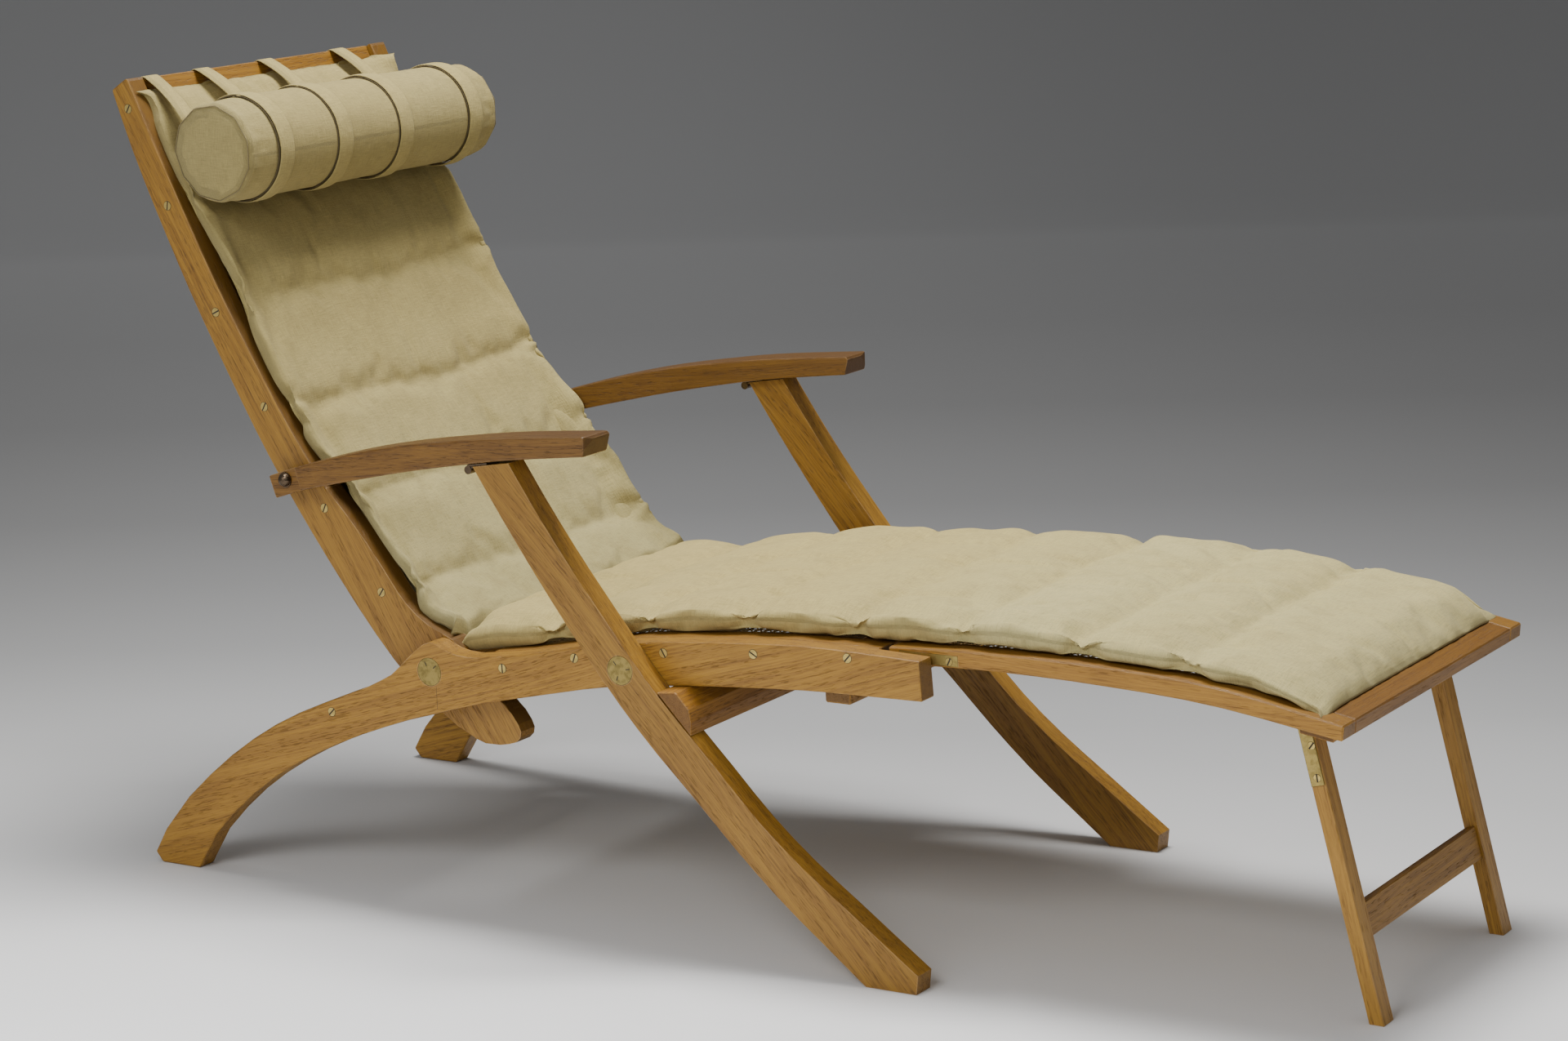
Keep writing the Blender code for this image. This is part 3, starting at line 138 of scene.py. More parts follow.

# Wood: slope of the grain, tone, redness, paleness, and how much painted shade darkens its upward-facing sides

WOOD_ALONG = {
    "seat_rail": (0.30, 0.93, 0.0, 0.0, 0.35),
    "front_leg": (-0.83, 0.77, 0.0, 0.0, 0.0),
    "back_stile": (-1.03, 0.80, 0.0, 0.0, 0.95),
    "arm": (0.10, 0.44, 0.30, 0.0, 0.80),
    "footrest_side": (-0.04, 1.00, 0.1, 0.0, 0.60),
    "seat_frame_side": (0.10, 0.80, 0.1, 0.0, 0.55),
    "back_frame_side": (-1.10, 0.75, 0.1, 0.0, 0.3),
    "footleg": (-1.32, 1.02, 0.0, 0.06, 0.0),
}
WOOD_ACROSS = {
    "rear_cross_rail": (0.85, 0.1, 0.0, 0.3),
    "front_cross_rail": (0.85, 0.1, 0.0, 0.3),
    "seat_frame_front": (0.75, 0.2, 0.0, 0.5),
    "seat_frame_rear": (0.75, 0.2, 0.0, 0.5),
    "back_top_rail": (0.72, 0.15, 0.0, 0.2),
    "back_frame_top": (0.75, 0.2, 0.0, 0.3),
    "back_frame_bottom": (0.75, 0.2, 0.0, 0.3),
    "leg_crossbar": (0.80, 0.3, 0.0, 0.2),
    "footrest_front_rail": (0.60, 0.35, 0.0, 0.5),
    "footrest_rear_rail": (0.80, 0.2, 0.0, 0.5),
    "footrest_stop_batten": (0.80, 0.2, 0.0, 0.0),
    "footleg_stretcher": (0.78, 0.1, 0.0, 0.2),
}

# The layers of oak's grain: scale along and across it, place, detail, roughness

GRAIN = (
    ((1.5, 130, 130), (0, 0, 0), 3.0, 0.55),
    ((5.0, 520, 520), (3, 1, 4), 2.0, 0.6),
    ((13, 760, 760), (1, 7, 2), 2.0, 0.6),
    ((75, 820, 820), (5, 2, 9), 1.0, 0.4),
)
PALE_OAK = np.array((0.46, 0.30, 0.13))
WORN_OAK = (0.60, 0.40, 0.20)

# Brass: share of the brass's colour, roughness, dullness, seed, and the nodes that have it

BRASSES = {
    "aged brass": (1.0, 0.36, 0.5, 0.0, ("pivot_disc_back", "pivot_disc_leg")),
    "dull brass": (0.85, 0.45, 0.7, 3.0, ("footleg_bracket",)),
    "worn brass": (1.25, 0.42, 0.25, 4.0, ("footrest_pivot_plate", "leg_strap")),
}
BRONZE = (0.12, 0.085, 0.055)
BRONZE_NODES = ("post_hinge", "arm_hinge", "arm_stud")
# Dark of the screw slots, key slots and crack: painted shade in their depth, with grime
RECESS_SHADE_AND_GRIME = (0.030, 0.022, 0.012)

# Key slots of the discs: the disc, its centre, and each slot's angle and distance from it

KEY_SLOTS = {
    "seat": ("pivot_disc_back", BACK_PIVOT, ((118, 0.0098), (40, 0.0095))),
    "front_legs": ("pivot_disc_leg", LEG_PIVOT, ((130, 0.0095), (12, 0.0100), (248, 0.0095))),
}
CRACK_PLACE = (-0.3192, 0.2395)

# Screws: the piece that they stand on, and each one's x from the chair's rear end, z, and turn of its slot

SCREW_X_START = 0.0862
SCREWS = {
    "back": ("back_stile", 1.0, ((-0.641, 0.869, 60), (-0.593, 0.762, 80), (-0.533, 0.645, 25),
                                 (-0.472, 0.542, 60), (-0.395, 0.433, 65), (-0.322, 0.344, 55))),
    "seat": ("seat_rail", 1.0, ((-0.380, 0.208, 45), (-0.143, 0.282, 92), (-0.048, 0.303, 70),
                                (0.066, 0.320, 120), (0.177, 0.330, 150), (0.290, 0.337, 48))),
    "footrest_legs": ("leg_strap", 0.8, ((0.761, 0.277, 55), (0.767, 0.245, 100))),
    "footrest": ("footrest_pivot_plate", 0.8, ((0.392, 0.337, 65),)),
}

# Cane: each node with its body and the direction that it is seen along

CANES = {
    "seat_cane": ("seat", (0, 0, -1)),
    "back_cane": ("back", (-0.86, 0, -0.5)),
    "footrest_cane": ("footrest", (0, 0, -1)),
}

# Bolster and straps: where each strap runs across the chair, on the bolster and on the top rail

CAP_SEAM, CAP_BULGE, CAP_RINGS, CAP_CORNERS, BOLSTER_AROUND = 0.955, 0.004, 8, 11, 88
STRAP_ROWS = ((-0.173, -0.190), (-0.067, -0.101), (0.047, 0.013), (0.182, 0.149))
STRAP_THICKNESS, STRAP_CLEAR, STRAP_SHIFT = 0.0018, 0.0032, 0.034
RAIL_FRONT, RAIL_REAR = (-0.7320, 0.9008), (-0.7438, 0.8934)
RAIL_LOW_REAR, RAIL_LOW_FRONT = (-0.7284, 0.8547), (-0.7155, 0.8599)

# Studio: each lamp's place, target, width, depth, and colour; the floor's greys by distance, a painted falloff of
# the light

LAMPS = {
    "key": ((-0.08, 0.35, 3.2), (0.05, 0.10, 0.2), 1.35, 1.05, (1.0, 0.992, 0.98)),
    "fill": ((-0.5, -4.4, 2.3), (0.0, 0.0, 0.4), 3.4, 2.4, (0.99, 0.995, 1.0)),
    "front": ((0.1, -2.7, 2.4), (0.1, -2.5, 0.0), 1.4, 1.2, (1.0, 1.0, 1.0)),
}
WORLD_COLOUR, WORLD_POWER = (0.82, 0.825, 0.84, 1), 0.38
FLOOR_TURN = math.radians(30)
PAINTED_FLOOR_FALLOFF = ((0.0, 0.98), (0.05, 0.95), (0.11, 0.66), (0.164, 0.43), (0.22, 0.30), (0.26, 0.26),
               (0.31, 0.228), (0.40, 0.24), (0.50, 0.31), (0.63, 0.44), (0.80, 0.35), (1.0, 0.345))


def at_side(node, side):
    return f"{node}_{'near' if side < 0 else 'far'}"


# Sizes and colours that a user may change


def number(name, default, description, **limits):
    return FloatProperty(name=name, default=default, description=description, **limits)


def length(name, default, low, high, description):
    return number(name, default, description, unit="LENGTH", min=low, max=high)


def tint(name, default, description):
    return FloatVectorProperty(name=name, default=default, description=description, subtype="COLOR", size=3,
                               min=0, max=1)


class WoodSettings(PropertyGroup):
    light: tint("Light grain", (0.430, 0.222, 0.026), "Colour of the light grain")
    deep: tint("Deep grain", (0.245, 0.112, 0.013), "Colour of the deep grain")
    pores: number("Pores", 0.48, "How dark the open pores are", min=0, max=1)
    wear: number("Edge wear", 0.5, "How far the edges are worn pale", min=0, max=1)


class BrassSettings(PropertyGroup):
    colour: tint("Brass", (0.325, 0.245, 0.080), "Colour of the aged brass")
    screw_radius: length("Screw radius", 0.0045, 0.002, 0.01, "Radius of a screw head")
    slot_width: length("Slot width", 0.0017, 0.0003, 0.002, "Width of a screw's slot")


class CaneSettings(PropertyGroup):
    colour: tint("Cane", (0.560, 0.420, 0.210), "Colour of the cane")
    pitch: length("Pitch", 0.0118, 0.008, 0.02, "Distance from hole to hole")
    strand: length("Strand", 0.0019, 0.001, 0.004, "Width of a strand")


class CanvasSettings(PropertyGroup):
    colour: tint("Canvas", (0.480, 0.385, 0.150), "Colour of the canvas")
    faded: tint("Faded canvas", (0.535, 0.462, 0.212), "Colour of the sun-faded canvas")
    thread: length("Thread", 0.0008, 0.0003, 0.003, "Width of one thread of the weave")
    cell: length("Mesh cell", 0.0070, 0.004, 0.02, "Size of the cushion's mesh cells")
    half_width: length("Half width", 0.2150, 0.1, 0.3, "Half of the cushion's width")
    seat_height: length("Seat thickness", 0.029, 0.01, 0.08, "Thickness of the seat cushion")
    back_height: length("Back thickness", 0.023, 0.01, 0.08, "Thickness of the back cushion")


class BolsterSettings(PropertyGroup):
    radius: length("Radius", 0.0570, 0.03, 0.1, "Radius of the bolster")
    half_length: length("Half length", 0.2315, 0.1, 0.3, "Half of the bolster's length")
    strap_width: length("Strap width", 0.026, 0.01, 0.05, "Width of a strap")


class StudioSettings(PropertyGroup):
    lens: number("Lens", 88.5, "Focal length on a 36 mm wide sensor", min=20, max=200)
    place: FloatVectorProperty(name="Camera", default=(2.1622, -3.5169, 1.2768), subtype="XYZ", size=3,
                               description="Place of the camera")
    azimuth: number("Azimuth", 31.925, "Turn of the camera to the left, from looking along +Y")
    elevation: number("Elevation", 11.816, "How far the camera looks down, in degrees")
    roll: number("Roll", -1.918, "Turn of the camera about its own axis, in degrees")
    key: number("Key light", 150.0, "Power of the large light above, in watts", min=0)
    fill: number("Fill light", 42.0, "Power of each light in front, in watts", min=0)


# Shading


class Nodes:
    """Short ways to add nodes to a tree."""

    def node(self, kind, inputs=None, **settings):
        made = self.tree.nodes.new(kind)
        for key, value in settings.items():
            setattr(made, key, value)
        for key, value in (inputs or {}).items():
            self.feed(made.inputs[key], value)
        return made

    def out(self, kind, inputs=None, **settings):
        """The first output of a new node."""
        return self.node(kind, inputs, **settings).outputs[0]

    def feed(self, socket, value):
        if isinstance(value, bpy.types.NodeSocket):
            self.tree.links.new(value, socket)
        else:
            socket.default_value = value

    def math(self, operation, a, b=0.0, c=0.0, **settings):
        return self.out("ShaderNodeMath", {0: a, 1: b, 2: c}, operation=operation, **settings)


class Shader(Nodes):
    """A material's node tree, on the piece's own coordinates."""

    def __init__(self, name):
        self.material = bpy.data.materials.new(name)
        self.material.use_nodes = True
        self.tree = self.material.node_tree
        self.here = self.node("ShaderNodeTexCoord").outputs["Object"]

    def stretch(self, vector, scale=(1, 1, 1), place=(0, 0, 0), turn=(0, 0, 0)):
        return self.out("ShaderNodeMapping", {"Vector": vector, "Scale": scale, "Location": place,
                                              "Rotation": turn})

    def noise(self, vector, scale=1.0, detail=2.0, rough=0.5, value="Fac"):
        return self.node("ShaderNodeTexNoise", {"Vector": vector, "Scale": scale, "Detail": detail,
                                                "Roughness": rough}).outputs[value]

    def dot(self, a, b):
        return self.node("ShaderNodeVectorMath", {0: a, 1: b}, operation="DOT_PRODUCT").outputs["Value"]

    def normal(self):
        return self.node("ShaderNodeNewGeometry").outputs["Normal"]

    def greys(self, value, stops):
        made = self.node("ShaderNodeValToRGB", {"Fac": value})
        band = made.color_ramp
        while len(band.elements) < len(stops):
            band.elements.new(0.5)
        for element, (place, grey) in zip(band.elements, stops):
            element.position = place
            element.color = (grey, grey, grey, 1)
        return made.outputs["Color"]

    def grade(self, value, low, high):
        """0 below low, 1 above high, and a smooth step between them."""
        return self.out("ShaderNodeMapRange", {"Value": value, "From Min": low, "From Max": high},
                        interpolation_type="SMOOTHSTEP", clamp=True)

    def mix(self, share, a, b, blend="MIX"):
        made = self.node("ShaderNodeMix", data_type="RGBA", blend_type=blend, clamp_factor=True)
        self.feed(made.inputs[0], share)
        for socket, value in ((made.inputs[6], a), (made.inputs[7], b)):
            self.feed(socket, (*value, 1) if isinstance(value, tuple) else value)
        return made.outputs[2]

    def stain(self, colour, value, low, high, strength, other):
        """The colour with a share of another where the value is high."""
        return self.mix(self.math("MULTIPLY", self.grade(value, low, high), strength), colour, other)

    def split(self, vector):
        return self.node("ShaderNodeSeparateXYZ", {"Vector": vector}).outputs

    def bump(self, height, distance, strength, **more):
        return self.out("ShaderNodeBump", {"Height": height, "Distance": distance, "Strength": strength, **more})

    def finish(self, inputs):
        """Feeds the surface and returns the material."""
        surface = self.tree.nodes["Principled BSDF"]
        for key, value in inputs.items():
            self.feed(surface.inputs[key], value)
        return self.material


def scaled(colour, factor):
    return tuple(min(v * factor, 1.0) for v in colour)


def make_wood(name, settings, turn, seed, tone, red, pale, painted_top_shade):
    """Oiled oak with its grain along the local x of a turned pattern."""
    shader = Shader(name)
    grain = shader.stretch(shader.here, place=(seed * 1.37 % 5, seed * 2.11 % 5, seed * 0.73 % 5), turn=turn)
    bent = shader.noise(shader.stretch(grain, (2.6, 7, 7)), value="Color")
    centred = shader.out("ShaderNodeVectorMath", {0: bent, 1: (0.5, 0.5, 0.5)}, operation="SUBTRACT")
    swayed = shader.out("ShaderNodeVectorMath", {0: centred, 1: (0.0, 0.020, 0.020), 2: grain},
                        operation="MULTIPLY_ADD")
    figure, streaks, fibres, vessels = (shader.noise(shader.stretch(swayed, scale, place), 1.0, detail, rough)
                                        for scale, place, detail, rough in GRAIN)
    cloud = shader.noise(grain, 6.5, 3.0, 0.55)
    blend = shader.math("MULTIPLY_ADD", figure, 0.36, shader.math("MULTIPLY", streaks, 0.34))
    blend = shader.grade(shader.math("MULTIPLY_ADD", fibres, 0.30, blend), 0.36, 0.66)
    pores = shader.math("MULTIPLY", shader.grade(vessels, 0.57, 0.66),
                        shader.math("MULTIPLY_ADD", shader.grade(figure, 0.42, 0.60), 0.7, 0.3))
    hue = np.array((1.0 + 0.22 * red, 1.0 - 0.10 * red, 1.0 - 0.05 * red))
    light, deep = (
        tuple(float(v) for v in (np.array(colour) * (1 - pale) + PALE_OAK * part * pale) * tone * hue)
        for colour, part in ((settings.light, 1.0), (settings.deep, 0.55)))
    dim = scaled(deep, 0.52)
    colour = shader.mix(blend, light, deep)
    colour = shader.stain(colour, cloud, 0.46, 0.74, 0.30, deep)
    colour = shader.stain(colour, streaks, 0.60, 0.74, 0.28, dim)
    colour = shader.mix(shader.math("MULTIPLY", pores, settings.pores), colour, scaled(deep, 0.36))
    # Painted shade: faces that look upwards are darkened, for the cushion's shadow on the stiles and the dimmer
    # tops of arms and rails
    colour = shader.stain(colour, shader.split(shader.normal())[2], 0.20, 0.50, painted_top_shade, dim)
    along = shader.out("ShaderNodeVectorRotate", {"Vector": (1.0, 0.0, 0.0), "Rotation": turn},
                       rotation_type="EULER_XYZ", invert=True)
    end_grain = shader.math("ABSOLUTE", shader.dot(shader.normal(), along))
    colour = shader.stain(colour, end_grain, 0.72, 0.90, 0.70, dim)
    bevel = shader.out("ShaderNodeBevel", {"Radius": 0.0022}, samples=6)
    edge = shader.math("SUBTRACT", 1.0, shader.dot(bevel, shader.normal()), use_clamp=True)
    patchy = shader.noise(shader.here, 34.0, 2.0, 0.6)
    rubbed = shader.math("MULTIPLY", shader.grade(edge, 0.04, 0.16), shader.grade(patchy, 0.36, 0.56))
    colour = shader.mix(shader.math("MULTIPLY", rubbed, settings.wear), colour,
                        scaled(WORN_OAK, 0.5 + 0.5 * tone))
    rough = shader.math("MULTIPLY_ADD", cloud, 0.22, 0.34)
    height = shader.math("MULTIPLY_ADD", pores, -1.0, shader.math("MULTIPLY", fibres, 0.45))
    height = shader.math("MULTIPLY_ADD", streaks, -0.5, height)
    return shader.finish({
        "Base Color": colour,
        "Roughness": shader.math("MULTIPLY_ADD", pores, 0.25, rough),
        "Specular IOR Level": 0.42,
        "Normal": shader.bump(height, 0.00030, 0.9),
    })


def make_brass(name, colour, rough, dull, seed):
    """Aged brass: a brown film that is thicker in patches, with fine scratches."""
    shader = Shader(name)
    patches = shader.noise(shader.stretch(shader.here, place=(seed, 0, seed)), 170.0, 4.0, 0.6)
    scratch, cross = (shader.noise(shader.stretch(shader.here, scale, turn=turn), 1.0, 2.0, 0.6)
                      for scale, turn in (((2600, 240, 190), (0.2, 0.7, 0.5)),
                                          ((210, 260, 2300), (0.5, -0.6, 0.2))))
    film = shader.grade(patches, 0.38, 0.68)
    tinted = shader.mix(shader.math("MULTIPLY", film, dull), colour, scaled(colour, 0.42))
    lines = shader.math("MAXIMUM", shader.grade(scratch, 0.64, 0.72), shader.grade(cross, 0.66, 0.74))
    return shader.finish({
        "Base Color": shader.mix(shader.math("MULTIPLY", lines, 0.4), tinted, scaled(colour, 1.7)),
        "Metallic": 1.0,
        "Roughness": shader.math("MULTIPLY_ADD", film, 0.2, rough),
        "Normal": shader.bump(shader.math("ADD", scratch, cross), 0.00003, 0.6),
    })


def make_plain(name, colour, rough, grain=400.0):
    """A plain small part with a little unevenness."""
    shader = Shader(name)
    mottle = shader.noise(shader.here, grain, 3.0, 0.6)
    return shader.finish({
        "Base Color": shader.mix(mottle, scaled(colour, 0.7), scaled(colour, 1.3)),
        "Roughness": shader.math("MULTIPLY_ADD", mottle, 0.2, rough - 0.1),
    })


def make_canvas(name, fade_from, fade_to, tone, soil=0.5):
    """Plain woven canvas: warp and weft in the piece's own UV, in metres, with slubs, nap and faded places."""
    settings = bpy.context.scene.chair_canvas
    shader = Shader(name)
    own = shader.out("ShaderNodeUVMap", uv_map="cloth")
    x, y, _ = shader.split(own)
    warp, weft = (shader.math("SINE", shader.math("MULTIPLY", at, math.pi / settings.thread)) for at in (x, y))
    slubs = shader.math("ADD", shader.noise(shader.stretch(own, (900, 60, 1)), 1.0, 2.0, 0.65),
                        shader.noise(shader.stretch(own, (60, 900, 1), (3, 5, 0)), 1.0, 2.0, 0.65))
    nap = shader.noise(shader.here, 430.0, 3.0, 0.7)
    mottle = shader.noise(shader.here, 24.0, 5.0, 0.62)
    cloud = shader.noise(shader.here, 5.0, 3.0, 0.5)
    sun = shader.grade(shader.split(shader.here)[0], fade_from, fade_to)
    sun = shader.math("MULTIPLY_ADD", shader.math("SUBTRACT", cloud, 0.5), 1.1, sun, use_clamp=True)
    colour = scaled(settings.colour, tone)
    base = shader.mix(sun, colour, scaled(settings.faded, tone))
    for value, low, high, strength, factor in (
            (mottle, 0.44, 0.72, 0.36 * soil + 0.12, 0.66), (slubs, 0.96, 1.28, 0.42, 1.40),
            (slubs, 1.00, 0.70, 0.42, 0.58), (nap, 0.50, 0.72, 0.30, 0.60)):
        base = shader.stain(base, value, low, high, strength, scaled(colour, factor))
    height = shader.math("MULTIPLY_ADD", shader.math("MULTIPLY", warp, weft), 0.30, slubs)
    fine = shader.bump(shader.math("MULTIPLY_ADD", nap, 0.9, height), 0.00050, 0.7)
    return shader.finish({
        "Base Color": base,
        "Roughness": 0.92,
        "Specular IOR Level": 0.18,
        "Sheen Weight": 0.08,
        "Sheen Roughness": 0.55,
        "Sheen Tint": (0.95, 0.92, 0.82, 1),
        "Normal": shader.bump(mottle, 0.0026, 0.45, Normal=fine),
    })


def dress(node, material):
    mesh = NODES[node].data
    if not mesh.materials:
        mesh.materials.append(material)
    for k in range(len(mesh.materials)):
        mesh.materials[k] = material


# Meshes


def new_object(name, data):
    made = bpy.data.objects.new(name, data)
    bpy.context.scene.collection.objects.link(made)
    return made


def joins(piece, body, slot, *nodes):
    """Lets a piece ride on a body in the place of CAD nodes. The slot is not used."""
    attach(piece, body)
    if nodes:
        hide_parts(*nodes)


def smooth_along(rows, at):
    """Values of the rows at a distance, with soft turns."""
    table = np.array(rows, float)
    fine = np.linspace(table[0, 0], table[-1, 0], 400)
    width = 17
    window = np.hanning(width + 2)[1:-1]
    window /= window.sum()
    soft = []
    for k in range(1, table.shape[1]):
        value = np.interp(fine, table[:, 0], table[:, k])
        left, right = 2 * value[0] - value[width:0:-1], 2 * value[-1] - value[-2:-width - 2:-1]
        padded = np.concatenate([left, value, right])
        soft.append(np.convolve(padded, window, "same")[width:width + len(value)])
    return [float(np.interp(at, fine, value)) for value in soft]


def finish_mesh(name, points, faces, material, uvs=None):
    """A mesh object at the origin, facing outwards."""
    mesh = bpy.data.meshes.new(name)
    mesh.from_pydata([tuple(p) for p in points], [], faces)
    if uvs is not None:
        layer = mesh.uv_layers.new(name="cloth")
        for loop in mesh.loops:
            layer.data[loop.index].uv = uvs[loop.vertex_index]
    mesh.polygons.foreach_set("use_smooth", [True] * len(mesh.polygons))
    mesh.materials.append(material)
    turn_outwards(mesh)
    return new_object(name, mesh)


def turn_outwards(mesh):
    work = bmesh.new()
    work.from_mesh(mesh)
    bmesh.ops.recalc_face_normals(work, faces=work.faces)
    work.to_mesh(mesh)
    work.free()


def tube_faces(rows, around, closed=False):
    """The faces between rows of points that each go once round."""
    return [(i * around + k, i * around + (k + 1) % around, (i + 1) % rows * around + (k + 1) % around,
             (i + 1) % rows * around + k) for i in range(rows if closed else rows - 1) for k in range(around)]


def lumps(x, y, z, size, seed):
    """Smooth lumps of about that size, from -1 to 1."""
    return noise.noise(Vector((x / size + seed * 7.3, y / size - seed * 3.1, z / size + seed * 1.7)))


def ease(value, low, high):
    """0 below low, 1 above high, and a smooth step between them."""
    t = min(max((value - low) / (high - low), 0.0), 1.0)
    return t * t * (3 - 2 * t)


def dome(value, middle, width):
    """1 at the middle, and 0 well away from it."""
    return math.exp(-(((value - middle) / width) ** 2))


def quilt(name, base, seams, height_at, shelf_at, depth_at, edges, cell, material, seed, ends, skew):
    """A channelled cushion lofted along its base: flat below, low crowned between its seams, lifted over the
    wood beside it, and pinched at the ends of each seam. Returns the piece and its held points.

    edges are its reach to the near and the far side, ends the lengths over which it closes."""
    rise, pull = 0.0020, 0.004
    start, length = base[0][0], base[-1][0]
    marks = np.linspace(start, length, max(int((length - start) / cell), 8) + 1)
    for seam in seams:
        marks[np.argmin(abs(marks - seam))] = seam
    near, far = edges
    inner = max(int((near + far) / cell), 8)
    turns = 7
    steps = [math.cos(math.pi * k / (turns + 1)) for k in range(1, turns + 1)]
    across = [(-near + (near + far) * k / inner, 1.0) for k in range(inner + 1)]
    across += [(far, 0.5 + 0.5 * step) for step in steps]
    across += [(far - (near + far) * k / inner, 0.0) for k in range(inner + 1)]
    across += [(-near, 0.5 - 0.5 * step) for step in steps]
    many = len(across)
    points, held, uvs, where = [], [], [], []
    for s in marks:
        x0, z0, nx, nz = smooth_along(base, s)
        size = math.hypot(nx, nz)
        nx, nz = nx / size, nz / size
        close = min((s - start) / ends[0], (length - s) / ends[1], 1.0)
        close = math.sqrt(max(1 - (1 - close) ** 2, 0.0)) * 0.90 + 0.10
        for y, share in across:
            q = abs(y) / (near if y < 0 else far)
            slant = sum(a * math.sin(y * f + p) for a, f, p in skew)
            gap = min(abs(s + slant - seam) for seam in seams)
            valley, stitched = dome(gap, 0, 0.017), dome(gap, 0, 0.0055)
            side = ease(q, 0.86, 1.0)
            under = shelf_at(s) * ease(abs(y), min(near, far) - 0.030, min(near, far) - 0.014)
            under += rise * valley * side + 0.0010 * side * lumps(s, y, 4, 0.045, seed)
            full = height_at(s) * (1.0 + 0.09 * lumps(s, y, 0, 0.08, seed)) * close
            full *= 1 - depth_at(s) * (0.65 * valley + 0.35 * stitched) - 0.08 * q * q
            rim = under + height_at(s) * close * (0.70 - 0.22 * valley + 0.10 * lumps(s, 7 * y, 2, 0.06, seed))
            top = full + (rim - full) * side
            h = under + (top - under) * share
            bulge = 0.0
            if 0 < share < 1:
                bulge = 0.42 * (top - under) * math.sqrt(max(1 - (2 * share - 1) ** 2, 0.0))
            inset = pull * valley + 0.0028 * (0.5 + 0.5 * lumps(s, 9 * math.copysign(1, y), 0, 0.05, seed + 2))
            inset += 0.018 * (1 - close) ** 2
            reach = y + math.copysign(bulge - inset * side, y)
            points.append((x0 + nx * h, reach, z0 + nz * h))
            below = share == 0.0 and (q < 0.86 or close < 0.6)
            held.append(1.0 if below or (share == 1.0 and gap < cell * 0.45) else 0.0)
            uvs.append((s, y if share > 0.5 else -y + 1.0))
            where.append((s, reach, share))
    faces = tube_faces(len(marks), many)
    for row in (0, len(marks) - 1):
        first = row * many
        upper = list(range(inner + 1))
        lower = [2 * inner + 1 + turns - k for k in range(inner + 1)]
        rim = [(upper[k], upper[k + 1], lower[k + 1], lower[k]) for k in range(inner)]
        rim.append((upper[-1], *range(inner + 1, inner + 1 + turns), lower[-1]))
        rim.append((lower[0], *range(2 * inner + 2 + turns, many), upper[0]))
        faces += [tuple(first + v for v in face) for face in rim]
    piece = finish_mesh(name, points, faces, material, uvs)
    piece.data.attributes.new("where", "FLOAT_VECTOR", "POINT").data.foreach_set(
        "vector", np.array(where, np.float32).ravel())
    return piece, held


def crumple(piece, seams, seed, folds=0.0022, puckers=0.0015, stars=0.0024, creases=()):
    """Works soft folds, the puckers of the seams, the gathers at their ends and lengthwise creases into a
    cushion's upper side."""
    mesh = piece.data
    where, at, out = (np.empty(len(mesh.vertices) * 3, np.float32) for _ in range(3))
    mesh.attributes["where"].data.foreach_get("vector", where)
    mesh.vertices.foreach_get("co", at)
    mesh.vertices.foreach_get("normal", out)
    where, at, out = where.reshape(-1, 3), at.reshape(-1, 3), out.reshape(-1, 3)
    half = float(abs(where[:, 1]).max())
    for i in range(len(at)):
        s, y, share = (float(v) for v in where[i])
        if share < 0.05:
            continue
        near = min(seams, key=lambda seam: abs(s - seam))
        gap = abs(s - near)
        rib = lumps(s, y, 0, 0.075, seed)
        move = folds * (0.75 * rib + 0.55 * (0.5 - 2.0 * abs(lumps(s, y * 1.3, 5, 0.055, seed + 1))))
        move += folds * 0.35 * lumps(s, y, 9, 0.024, seed + 3)
        move += puckers * dome(gap, 0, 0.020) * lumps(s * 0.5, y, near, 0.019, seed + 4)
        away = half - abs(y)
        r = math.hypot(gap, away)
        if r < 0.11:
            angle = math.atan2(s - near, away)
            wave = math.sin(angle * 5.0 + 9.0 * lumps(near, y > 0, 3, 0.4, seed) + 0.6 * math.sin(r * 55))
            move += stars * wave * dome(r, 0, 0.042) * min(r / 0.014, 1.0)
        for place, depth, width in creases:
            middle = place + 0.010 * math.sin(s * 17 + place * 60) + 0.006 * lumps(s, place, 0, 0.05, seed)
            strength = 0.55 + 0.45 * lumps(s, place * 9, 1, 0.09, seed)
            move -= depth * strength * dome(y, middle, width)
        if away < 0.035:
            move = max(move, -0.0016)
        at[i] += out[i] * (move * (1.0 if share > 0.5 else 0.5))
    mesh.vertices.foreach_set("co", at.ravel())
    mesh.attributes.remove(mesh.attributes["where"])
    mesh.update()


